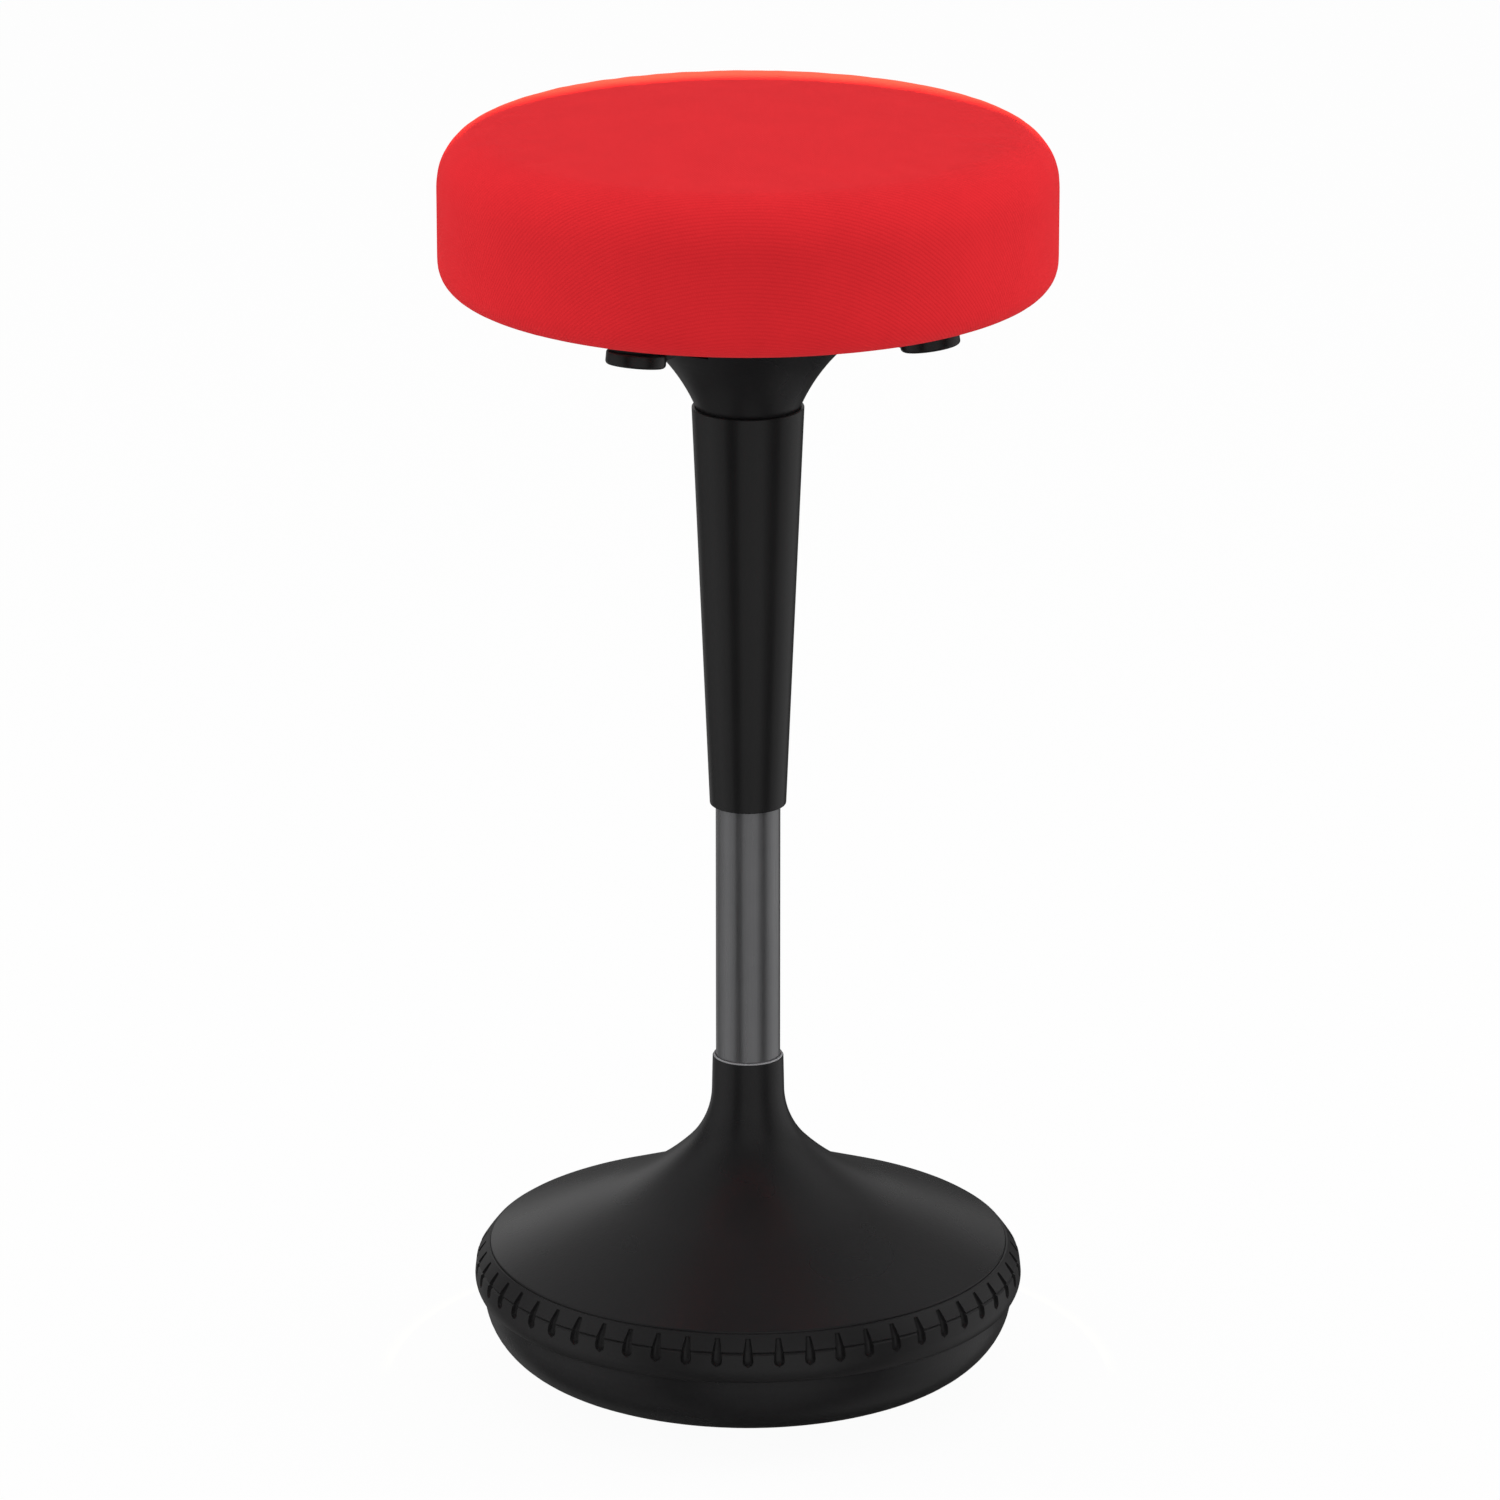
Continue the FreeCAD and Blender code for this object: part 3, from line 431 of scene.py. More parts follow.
class Effect(Nodes):
    """A shader node group that gives masks and heights, built once and shared."""

    name = "effect"
    inputs: dict[str, float] = {}
    outputs: tuple[str, ...] = ()

    def __init__(self) -> None:
        """Make the group's sockets, then its nodes."""
        super().__init__(bpy.data.node_groups.new(self.name, "ShaderNodeTree"))
        socket = self.tree.interface.new_socket
        socket("Vector", in_out="INPUT", socket_type="NodeSocketVector")
        for key, value in self.inputs.items():
            socket(key, in_out="INPUT", socket_type="NodeSocketFloat").default_value = value
        for key in self.outputs:
            socket(key, in_out="OUTPUT", socket_type="NodeSocketFloat")
        self.given = self.tree.nodes.new("NodeGroupInput").outputs
        self.fill(self.tree.nodes.new("NodeGroupOutput"), self.results())

    def results(self) -> Sockets:
        """Sockets that feed the outputs, by name. Each effect has its own."""
        return {}


@cache
def effect_tree(kind: type[Effect]) -> bpy.types.NodeTree:
    """An effect's node group, built on first use."""
    return kind().tree


class MouldGrain(Effect):
    """Fine leathery texture of moulded plastic and rubber, with faint flow patches and scuffs."""

    name = "mould_grain"
    inputs = {"Scale": 900.0, "Patch Scale": 18.0}
    outputs = ("Height", "Patch", "Scuff")

    def results(self) -> Sockets:
        """Pits from small cells, patches from wide noise and scuffs from thin stretched noise.

        Returns:
            Sockets that feed the outputs.
        """
        vector, scale = self.given["Vector"], self.given["Scale"]
        cells = self.first("TexVoronoi", {"Vector": vector, "Scale": scale}, feature="SMOOTH_F1")
        fine = self.noise(vector, self.maths("MULTIPLY", scale, 0.6), 4.0)
        long = self.first("VectorMath", {0: vector, 1: (1.0, 1.0, 0.12)}, operation="MULTIPLY")
        return {"Height": self.maths("MULTIPLY_ADD", cells, 0.6, fine),
                "Patch": self.noise(vector, self.given["Patch Scale"], 2.0, 0.4),
                "Scuff": self.fit(self.noise(long, 240.0, 2.0, 0.7), 0.72, 0.86, 0.0, 0.5)}


class KnitRows(Effect):
    """Close rows of knitted loops, read in the cover's own map in metres."""

    name = "knit_rows"
    inputs = {"Row": 0.0021, "Loop": 0.0016}
    outputs = ("Height", "Shade", "Mottle", "Fuzz")

    def results(self) -> Sockets:
        """Rows lie along the map's first axis, and every other row's loops are set over by half.

        Returns:
            Sockets that feed the outputs.
        """
        vector = self.given["Vector"]
        stir = self.add("TexNoise", {"Vector": vector, "Scale": 60.0, "Detail": 2.0}).outputs["Color"]
        stir = self.first("VectorMath", {0: stir, 1: (0.5, 0.5, 0.5)}, operation="SUBTRACT")
        stir = self.first("VectorMath", {0: stir, "Scale": 0.0016}, operation="SCALE")
        split = self.axes(self.first("VectorMath", {0: vector, 1: stir}, operation="ADD"))
        row = self.maths("DIVIDE", split["Y"], self.given["Row"])
        loop = self.maths("DIVIDE", split["X"], self.given["Loop"])
        odd = self.maths("FLOOR", self.maths("MODULO", self.maths("FLOOR", row), 2.0))
        bead = self.arch(self.maths("MULTIPLY_ADD", odd, 0.5, loop))
        height = self.maths("MULTIPLY", self.arch(row), self.maths("MULTIPLY_ADD", bead, 0.45, 0.55))
        fuzz = self.noise(vector, 2600.0, 2.0, 0.7)
        soft = self.maths("MULTIPLY_ADD", fuzz, 0.3, self.maths("MULTIPLY", height, 0.8))
        return {"Height": soft, "Shade": height, "Mottle": self.noise(vector, 26.0, 4.0, 0.6), "Fuzz": fuzz}

    def arch(self, run: Socket) -> Socket:
        """A smooth rise and fall once in each unit of the run."""
        return self.maths("SINE", self.maths("MULTIPLY", self.maths("PINGPONG", run, 0.5), math.pi))


class BrushedStreaks(Effect):
    """Fine streaks left by a brush or a drawing die along the part's length."""

    name = "brushed_streaks"
    inputs = {"Scale": 1400.0, "Stretch": 0.02}
    outputs = ("Streak", "Cloud")

    def results(self) -> Sockets:
        """Noise that is pressed together round the part and drawn out along it.

        Returns:
            Sockets that feed the outputs.
        """
        vector = self.given["Vector"]
        split = self.axes(vector)
        drawn = self.maths("MULTIPLY", split["Z"], self.given["Stretch"])
        long = self.first("CombineXYZ", {"X": split["X"], "Y": split["Y"], "Z": drawn})
        return {"Streak": self.noise(long, self.given["Scale"], 3.0, 0.65), "Cloud": self.noise(vector, 30.0)}


class SettledDust(Effect):
    """A thin film of dust where a surface looks up."""

    name = "settled_dust"
    inputs = {"Amount": 0.3}
    outputs = ("Mask",)

    def results(self) -> Sockets:
        """The upward share of the normal, broken up by noise.

        Returns:
            Sockets that feed the outputs.
        """
        vector = self.given["Vector"]
        facing = self.fit(self.axes(self.add("NewGeometry").outputs["Normal"])["Z"], 0.2, 1.0)
        clumps = self.maths("MULTIPLY", self.noise(vector, 55.0, 5.0, 0.7), self.noise(vector, 900.0, 2.0))
        film = self.maths("MULTIPLY", facing, clumps)
        return {"Mask": self.maths("MULTIPLY", film, self.given["Amount"])}


# Finishes


@dataclass(frozen=True)
class Finish:
    """What every finish has: a name, a main and a darker colour, roughness, metal and gloss."""

    name: str
    colour: Colour
    deep: Colour
    roughness: float
    metallic: float = 0.0
    specular: float = 0.5

    def material(self) -> bpy.types.Material:
        """Make the finish's material.

        Returns:
            The material, with its own nodes.
        """
        material = bpy.data.materials.new(self.name)
        material.use_nodes = True
        material.diffuse_color = (*self.colour, 1.0)
        nodes = Nodes(material.node_tree)
        constants = {"Metallic": self.metallic, "Specular IOR Level": self.specular}
        nodes.fill(nodes.tree.nodes["Principled BSDF"], {**constants, **self.look(nodes)})
        return material

    def look(self, nodes: Nodes) -> Sockets:
        """What feeds the Principled BSDF, by socket. Each finish has its own."""
        return {"Base Color": self.colour, "Roughness": self.roughness}

    def tones(self, nodes: Nodes, mask: Socket) -> Socket:
        """The darker colour at a mask's 0 and the main colour at its 1."""
        return nodes.blend(mask, self.deep, self.colour)

    def rough(self, nodes: Nodes, value: Socket, less: float, more: float) -> Socket:
        """Roughness that a noise takes from a little less to a little more than its mean."""
        return nodes.spread(value, self.roughness - less, self.roughness + more)


@dataclass(frozen=True)
class Moulded(Finish):
    """Moulded plastic or rubber."""

    grain: float = 900.0
    depth: float = 0.00005
    dust: float = 0.02
    dust_colour: Colour = (0.12, 0.115, 0.11)

    def look(self, nodes: Nodes) -> Sockets:
        """Grain, faint flow patches, scuffs and dust.

        Args:
            nodes: The material's nodes.

        Returns:
            What feeds the Principled BSDF.
        """
        place = nodes.place()
        grain = nodes.effect(MouldGrain, place, Scale=self.grain)
        dust = nodes.effect(SettledDust, place, Amount=self.dust)
        scuffed = tuple(min(value * 2.2 + 0.012, 1.0) for value in self.colour)
        worn = nodes.blend(grain["Scuff"], self.tones(nodes, nodes.spread(grain["Patch"])), scuffed)
        return {"Base Color": nodes.blend(dust["Mask"], worn, self.dust_colour),
                "Roughness": self.rough(nodes, grain["Patch"], 0.02, 0.03),
                "Normal": nodes.bump(grain["Height"], self.depth)}


@dataclass(frozen=True)
class Knitted(Finish):
    """Stretched knitted seat fabric."""

    sheen: float = 0.01
    sheen_roughness: float = 0.35
    sheen_colour: Colour = (1.0, 0.3, 0.12)
    depth: float = 0.00016

    def look(self, nodes: Nodes) -> Sockets:
        """Rows of loops in the cover's own map, darker between the loops as painted shade in the knit's
        hollows, and mottled over the seat.

        Args:
            nodes: The material's nodes.

        Returns:
            What feeds the Principled BSDF.
        """
        rows = nodes.effect(KnitRows, nodes.first("UVMap", uv_map="cover"))
        # Painted shade: the darker colour fills the hollows between rows and loops.
        painted_row_shade = self.tones(nodes, rows["Shade"])
        bright = tuple(min(value * 1.1, 1.0) for value in self.colour)
        return {"Base Color": nodes.blend(nodes.spread(rows["Mottle"], 0.0, 0.35), painted_row_shade, bright),
                "Roughness": self.rough(nodes, rows["Fuzz"], 0.05, 0.05),
                "Sheen Weight": self.sheen, "Sheen Roughness": self.sheen_roughness,
                "Sheen Tint": self.sheen_colour, "Normal": nodes.bump(rows["Height"], self.depth)}


@dataclass(frozen=True)
class Nonwoven(Finish):
    """Thin felted cloth with small pressed dots."""

    fibres: float = 700.0
    dots: float = 420.0
    depth: float = 0.00018

    def look(self, nodes: Nodes) -> Sockets:
        """Tangled fibres with a grid of pressed dots, darker where they lie lower as painted shade.

        Args:
            nodes: The material's nodes.

        Returns:
            What feeds the Principled BSDF.
        """
        place = nodes.place()
        fibres = nodes.noise(place, self.fibres, 6.0, 0.75, 1.4)
        dots = nodes.first("TexVoronoi", {"Vector": place, "Scale": self.dots, "Randomness": 0.25})
        height = nodes.maths("MULTIPLY", fibres, nodes.fit(dots, 0.2, 0.32))
        # Painted shade: the colour is darkest where the fibres and pressed dots lie lowest.
        return {"Base Color": self.tones(nodes, height), "Roughness": self.rough(nodes, fibres, 0.06, 0.06),
                "Normal": nodes.bump(height, self.depth)}


@dataclass(frozen=True)
class Foamed(Finish):
    """Open-cell seat foam."""

    cells: float = 800.0
    depth: float = 0.0004

    def look(self, nodes: Nodes) -> Sockets:
        """Small cells, darker in their pits as painted shade, under a slow change of tone.

        Args:
            nodes: The material's nodes.

        Returns:
            What feeds the Principled BSDF.
        """
        place = nodes.place()
        cells = nodes.first("TexVoronoi", {"Vector": place, "Scale": self.cells})
        tone = nodes.noise(place, 25.0, 3.0, 0.5)
        # Painted shade: the colour is darkest in the cells' pits.
        return {"Base Color": self.tones(nodes, cells), "Roughness": self.rough(nodes, tone, 0.05, 0.05),
                "Normal": nodes.bump(cells, self.depth)}


@dataclass(frozen=True)
class Plied(Finish):
    """Plywood: veneer grain on the faces and stacked plies on the edge."""

    ply: float = 0.0013
    depth: float = 0.0002

    def look(self, nodes: Nodes) -> Sockets:
        """Wavy veneer figure, crossed by ply lines that show where the surface stands upright.

        Args:
            nodes: The material's nodes.

        Returns:
            What feeds the Principled BSDF.
        """
        place = nodes.place()
        drawn = nodes.first("Mapping", {"Vector": place, "Scale": (4.0, 60.0, 4.0)})
        figure = nodes.noise(drawn, 3.0, 6.0, 0.5, 0.6)
        layer = nodes.maths("PINGPONG", nodes.axes(place)["Z"], self.ply)
        normal = nodes.axes(nodes.add("NewGeometry").outputs["Normal"])
        flat = nodes.maths("ABSOLUTE", normal["Z"])
        shade = nodes.maths("MAXIMUM", flat, nodes.fit(layer, 0.0, self.ply, 0.3, 1.0))
        veneer = nodes.maths("MULTIPLY", figure, shade)
        return {"Base Color": self.tones(nodes, nodes.spread(veneer)),
                "Roughness": self.rough(nodes, figure, 0.05, 0.08), "Normal": nodes.bump(veneer, self.depth)}


@dataclass(frozen=True)
class Streaked(Finish):
    """Drawn, brushed or plated metal, bare or under a clear coat."""

    scale: float = 1400.0
    stretch: float = 0.02
    depth: float = 0.00001
    swing: float = 0.08
    coat: float = 0.0
    coat_roughness: float = 0.15

    def look(self, nodes: Nodes) -> Sockets:
        """Streaks along the part and soft clouds in its tone.

        Args:
            nodes: The material's nodes.

        Returns:
            What feeds the Principled BSDF.
        """
        streaks = nodes.effect(BrushedStreaks, nodes.place(), Scale=self.scale, Stretch=self.stretch)
        tone = nodes.maths("MULTIPLY", nodes.maths("ADD", streaks["Streak"], streaks["Cloud"]), 0.5)
        look = {"Base Color": self.tones(nodes, nodes.spread(tone)),
                "Roughness": self.rough(nodes, streaks["Streak"], self.swing, self.swing),
                "Normal": nodes.bump(streaks["Streak"], self.depth)}
        if self.coat:
            look |= {"Coat Weight": self.coat, "Coat Roughness": self.coat_roughness}
        return look


@dataclass(frozen=True)
class Cast(Finish):
    """Sand-cast iron or blasted and coated steel."""

    lumps: float = 260.0
    depth: float = 0.0003

    def look(self, nodes: Nodes) -> Sockets:
        """Coarse skin with pits.

        Args:
            nodes: The material's nodes.

        Returns:
            What feeds the Principled BSDF.
        """
        place = nodes.place()
        skin = nodes.noise(place, self.lumps, 6.0, 0.7)
        tone = nodes.noise(place, 20.0, 4.0, 0.5)
        return {"Base Color": self.tones(nodes, nodes.spread(tone)),
                "Roughness": self.rough(nodes, skin, 0.08, 0.1), "Normal": nodes.bump(skin, self.depth)}


FINISHES: dict[str, Finish] = {
    # The red knit's darker colour is painted shade, laid between its rows of loops.
    "red_fabric": Knitted("red_knit", (0.76, 0.023, 0.030), (0.69, 0.019, 0.026), 0.9, specular=0.08),
    "black_nonwoven": Nonwoven("black_nonwoven", (0.030, 0.030, 0.032), (0.008, 0.008, 0.009), 0.9,
                               specular=0.2),
    "foam": Foamed("seat_foam", (0.85, 0.80, 0.60), (0.62, 0.55, 0.36), 0.95, specular=0.2),
    "plywood": Plied("birch_ply", (0.66, 0.48, 0.28), (0.42, 0.27, 0.13), 0.6),
    "black_shell": Moulded("black_moulding", (0.0128, 0.0125, 0.0132), (0.0116, 0.0113, 0.0119), 0.28),
    "black_satin": Moulded("black_satin_moulding", (0.0126, 0.0124, 0.0127), (0.0112, 0.0110, 0.0113), 0.24,
                           grain=1500.0, depth=0.00001),
    "black_rubber": Moulded("black_rubber", (0.0138, 0.0134, 0.0140), (0.0118, 0.0115, 0.0120), 0.34,
                            grain=1300.0, depth=0.00003),
    "grey_tube": Streaked("coated_grey_tube", (0.33, 0.33, 0.34), (0.27, 0.27, 0.28), 0.3, metallic=0.86,
                          scale=900.0, stretch=0.015, swing=0.04, coat=1.0),
    "black_steel": Cast("black_coated_steel", (0.020, 0.020, 0.021), (0.012, 0.012, 0.013), 0.45,
                        lumps=900.0, depth=0.00004),
    "zinc_steel": Streaked("zinc_plated_steel", (0.66, 0.66, 0.64), (0.48, 0.48, 0.45), 0.34, metallic=1.0,
                           scale=600.0, stretch=0.4),
    "chrome_rod": Streaked("hard_chrome", (0.74, 0.74, 0.75), (0.66, 0.66, 0.67), 0.1, metallic=1.0,
                           swing=0.03),
    "cast_iron": Cast("cast_iron", (0.095, 0.092, 0.090), (0.050, 0.048, 0.046), 0.62, metallic=0.6),
    "grey_nylon": Moulded("grey_nylon", (0.30, 0.30, 0.31), (0.26, 0.26, 0.27), 0.4, grain=1500.0,
                          depth=0.00001),
    "white_nylon": Moulded("natural_nylon", (0.78, 0.77, 0.72), (0.70, 0.68, 0.62), 0.45, grain=700.0,
                           dust=0.05),
}


@cache
def material_of(finish: str) -> bpy.types.Material:
    """A finish's material, made on first use."""
    return FINISHES[finish].material()


def settle(piece: Piece, body: Body, slot: str, *stands_for: str, finish: str = "") -> Piece:
    """Dress a piece and let it ride on its body.

    Args:
        piece: The finished piece.
        body: Body that it moves with.
        slot: Material slot of the record.
        stands_for: CAD nodes that it is shown in place of.
        finish: Finish to use instead of the slot's own.

    Returns:
        The piece.
    """
    piece.data.materials.clear()
    piece.data.materials.append(material_of(finish or slot))
    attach(piece, body.value)
    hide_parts(*stands_for)
    log.info("%s: %d faces on %s", piece.name, len(piece.data.polygons), body.value)
    return piece


# Sub-assemblies


@dataclass
class SeatPad:
    """Upholstered seat: knitted cover drawn over foam, dust sheet and staples below."""

    radius: float = 170.0
    underside: float = 641.0
    top: float = 731.5
    crown: float = 3.5
    top_round: float = 29.0
    under_round: float = 15.0
    hem_radius: float = 138.0
    closing_height: float = 642.35
    cover_thickness: float = 1.5
    grid: int = 128
    held_from: float = 0.93
    unevenness: float = 0.12
    pressure: float = 4.0
    frames: int = 20
    pucker_cap: float = 0.5
    pucker_gain: float = 0.5
    pucker_least: float = 0.1
    pucker_reach: int = 3
    pucker_fade: tuple[Point, ...] = ((0.5, 1.0), (0.57, 0.3), (0.83, 0.3), (0.93, 0.0))
    pleats_from: float = 0.925
    pleats_full: float = 0.975
    pleat_depth: float = 0.5
    pleat_waves: tuple[int, int] = (46, 71)
    pleat_shares: Point = (0.55, 0.45)
    pleat_least: float = -0.3
    board_radius: float = 153.0
    board_high: float = 654.5
    sheet_radius: float = 137.6
    sheet_low: float = 642.0
    sheet_wall: float = 0.3
    sheet_rings: int = 30
    sheet_steps: int = 180
    ripples_from: float = 118.0
    ripples_reach: float = 20.0
    ripple_heights: Point = (0.16, 0.12)
    staple_count: int = 24
    staple_circle: float = 147.4
    staple_crown: float = 10.0
    staple_leg: float = 4.6
    staple_wire: float = 0.8

    def half_outline(self, inset: float = 0.0) -> Outline:
        """The cover's outline from the middle of the top to the hem.

        Args:
            inset: Distance that it lies inside the cover's face.

        Returns:
            The outline.
        """
        shoulder, side = self.radius - self.top_round, self.radius - inset
        rim = self.top - self.crown
        crown_bend = (shoulder**2 + self.crown**2) / (2 * self.crown) - inset
        outline = Outline().line(0.0, self.top - inset)
        outline.arc(shoulder, rim - inset, crown_bend, Bend.RIGHT, 24)
        outline.arc(side, rim - self.top_round, self.top_round - inset, Bend.RIGHT, 14)
        outline.line(side, self.underside + self.under_round)
        hem = self.radius - self.under_round
        return outline.arc(hem, self.underside + inset, self.under_round - inset, Bend.RIGHT, 10)

    def drawn_disc(self) -> tuple[np.ndarray, np.ndarray, np.ndarray, list[tuple[int, ...]]]:
        """Lay a square grid over the seat as a round cloth is drawn over it.

        Returns:
            The places in metres, the cloth's own map in metres, the share of the way to the hem,
            and the faces.
        """
        outline = self.half_outline().line(self.hem_radius, self.underside)
        lengths, profile = outline.lengths(), np.array(outline.points)
        steps = np.linspace(-1.0, 1.0, self.grid + 1)
        across, along = (axis.ravel() for axis in np.meshgrid(steps, steps, indexing="ij"))
        wide = np.abs(across) >= np.abs(along)
        lead, other = np.where(wide, across, along), np.where(wide, along, across)
        share = np.abs(lead)
        turn = math.pi / 4 * other / np.where(share > 0, lead, 1.0)
        angle = np.where(wide, turn, math.pi / 2 - turn) + np.where(lead < 0, math.pi, 0.0)
        way = np.stack((np.cos(angle), np.sin(angle)), axis=1)
        run = share * lengths[-1]
        radius, height = (np.interp(run, lengths, column) * MM for column in profile.T)
        places = np.column_stack((radius[:, None] * way, height))
        row = self.grid + 1
        faces = [(i * row + j, (i + 1) * row + j, (i + 1) * row + j + 1, i * row + j + 1)
                 for i in range(self.grid) for j in range(self.grid)]
        return places, run[:, None] * MM * way, share, faces

    def drape(self, piece: Piece, share: np.ndarray) -> np.ndarray:
        """Let the cover settle as cloth under the foam's push, cut a little uneven and held at the hem.

        Args:
            piece: The cover's mesh.
            share: Share of the way to the hem at each vertex.

        Returns:
            How far each vertex moved, in metres.
        """
        start = read(piece)
        uneven = np.random.default_rng(7).normal(0.0, self.unevenness * MM, len(start))
        move(piece, start + uneven[:, None] * read(piece, "normal"))
        held = piece.vertex_groups.new(name="held")
        held.add(np.nonzero(share > self.held_from)[0].tolist(), 1.0, "REPLACE")
        cloth = piece.modifiers.new("drape", "CLOTH")
        settings = cloth.settings
        settings.quality = 5
        settings.mass = 0.3
        settings.tension_stiffness = settings.compression_stiffness = 12.0
        settings.shear_stiffness = 4.0
        settings.bending_stiffness = 0.05
        settings.use_pressure = True
        settings.uniform_pressure_force = self.pressure
        settings.shrink_min = -0.012
        settings.effector_weights.gravity = 0.0
        settings.vertex_group_mass = "held"
        cloth.collision_settings.use_collision = False
        cloth.point_cache.frame_start, cloth.point_cache.frame_end = 1, self.frames
        scene = bpy.context.scene
        for number in range(1, self.frames + 1):
            scene.frame_set(number)
        settled = read(piece.evaluated_get(bpy.context.evaluated_depsgraph_get()))
        piece.modifiers.remove(cloth)
        piece.vertex_groups.remove(held)
        scene.frame_set(1)
        return settled - start

    def puckers(self, moved: np.ndarray) -> np.ndarray:
        """Keep the short puckers that the drape made, and leave the seat's size and roundness alone.

        What all eight mirror images of the square grid share comes from the grid and not from the cloth.

        Args:
            moved: How far each vertex moved outward.

        Returns:
            The part of the movement that differs from its surroundings' mean, capped.
        """
        length = moved.reshape(self.grid + 1, self.grid + 1)
        images = [np.rot90(flipped, turns) for flipped in (length, length.T) for turns in range(4)]
        length = length - sum(images) / len(images)
        mean = np.pad(length, self.pucker_reach, mode="edge")
        window = 2 * self.pucker_reach + 1
        for axis in (0, 1):
            total = np.insert(np.cumsum(mean, axis=axis), 0, 0.0, axis=axis)
            high = np.take(total, range(window, total.shape[axis]), axis=axis)
            low = np.take(total, range(0, total.shape[axis] - window), axis=axis)
            mean = (high - low) / window
        cap, least = self.pucker_cap * MM, self.pucker_least * MM
        height = (length - mean) * self.pucker_gain
        height = np.sign(height) * np.maximum(np.abs(height) - least, 0.0)
        return np.tanh(height / cap).ravel() * cap

    def pleats(self, places: np.ndarray, share: np.ndarray) -> np.ndarray:
        """Small uneven folds where the cover is pulled round the lower edge to its staples.

        Args:
            places: Places of the vertices.
            share: Share of the way to the hem at each vertex.

        Returns:
            How far each vertex moves outward, in metres.
        """
        angle = np.arctan2(places[:, 1], places[:, 0])
        few, many = self.pleat_waves
        wide = self.pleat_shares[0] * np.sin(few * angle + 1.3 * np.sin(5 * angle))
        fine = self.pleat_shares[1] * np.sin(many * angle + 2.0 * np.sin(3 * angle + 1))
        fade = np.interp(share, (self.pleats_from, self.pleats_full), (0.0, 1.0))
        return fade * np.clip(wide + fine, self.pleat_least, 1.0) * self.pleat_depth * MM

    def cover(self) -> None:
        """Make the cover: drawn over the foam, settled as cloth, then closed under the board."""
        places, chart, share, faces = self.drawn_disc()
        piece = new_piece("knitted_cover", places, faces, 180.0)
        chart_map = piece.data.uv_layers.new(name="cover")
        corners = np.empty(len(piece.data.loops), dtype=np.int32)
        piece.data.loops.foreach_get("vertex_index", corners)
        chart_map.data.foreach_set("uv", chart[corners].ravel())
        normals = read(piece, "normal")
        lift = self.pleats(places, share)
        outward = np.sum(self.drape(piece, share) * normals, axis=1)
        lift = lift + self.puckers(outward) * np.interp(share, *np.transpose(self.pucker_fade))
        move(piece, places + normals * lift[:, None])
        piece.modifiers.new("smoother", "SUBSURF").levels = 1
        make_plain(piece)
        self.close(piece)
        settle(piece, Body.SEAT, "red_fabric", "fabric_cover")

    def close(self, piece: Piece) -> None:
        """Turn the hem up under the board and close the cover there.

        Args:
            piece: The cover's mesh, open at the hem.
        """
        work = bmesh.new()
        work.from_mesh(piece.data)
        rim = [edge for edge in work.edges if edge.is_boundary]
        for scale in (1.0, 0.5):
            grown = bmesh.ops.extrude_edge_only(work, edges=rim)["geom"]
            rim = [item for item in grown if isinstance(item, bmesh.types.BMEdge)]
            for vertex in {vertex for edge in rim for vertex in edge.verts}:
                vertex.co = Vector((vertex.co.x * scale, vertex.co.y * scale, self.closing_height * MM))
        bmesh.ops.contextual_create(work, geom=rim)
        bmesh.ops.recalc_face_normals(work, faces=work.faces)
        work.to_mesh(piece.data)
        work.free()
        smooth(piece, 60.0)

    def foam(self) -> None:
        """Make the foam, moulded with a seat for the board."""
        inset = self.cover_thickness + self.pucker_cap
        outline = self.half_outline(inset).line(self.board_radius, self.underside + inset)
        outline.line(self.board_radius, self.board_high).line(0.0, self.board_high)
        outline.points.reverse()
        piece = settle(turned("seat_foam_core", outline), Body.SEAT, "foam", "foam_cushion")

    def dust_sheet(self) -> None:
        """Make the thin cloth under the board, slightly rippled near its edge."""
        rings = np.linspace(0.0, self.sheet_radius, self.sheet_rings + 1)
        outline = Outline([(radius, self.sheet_low) for radius in rings])
        piece = turned("dust_sheet", outline, self.sheet_steps, closed=False)
        places = read(piece)
        angle = np.arctan2(places[:, 1], places[:, 0])
        past = np.hypot(places[:, 0], places[:, 1]) / MM - self.ripples_from
        fade = np.clip(past / self.ripples_reach, 0.0, 1.0)
        broad, fine = self.ripple_heights
        ripple = broad * np.sin(17 * angle + np.sin(4 * angle)) + fine * np.sin(29 * angle + 1.0)
        places[:, 2] += fade * ripple * np.sin(math.pi * fade) * MM
        move(piece, places)
        wall = piece.modifiers.new("wall", "SOLIDIFY")
        wall.thickness, wall.offset = self.sheet_wall * MM, -1.0
        make_plain(piece)
        settle(piece, Body.SEAT, "black_nonwoven", "dust_cover")

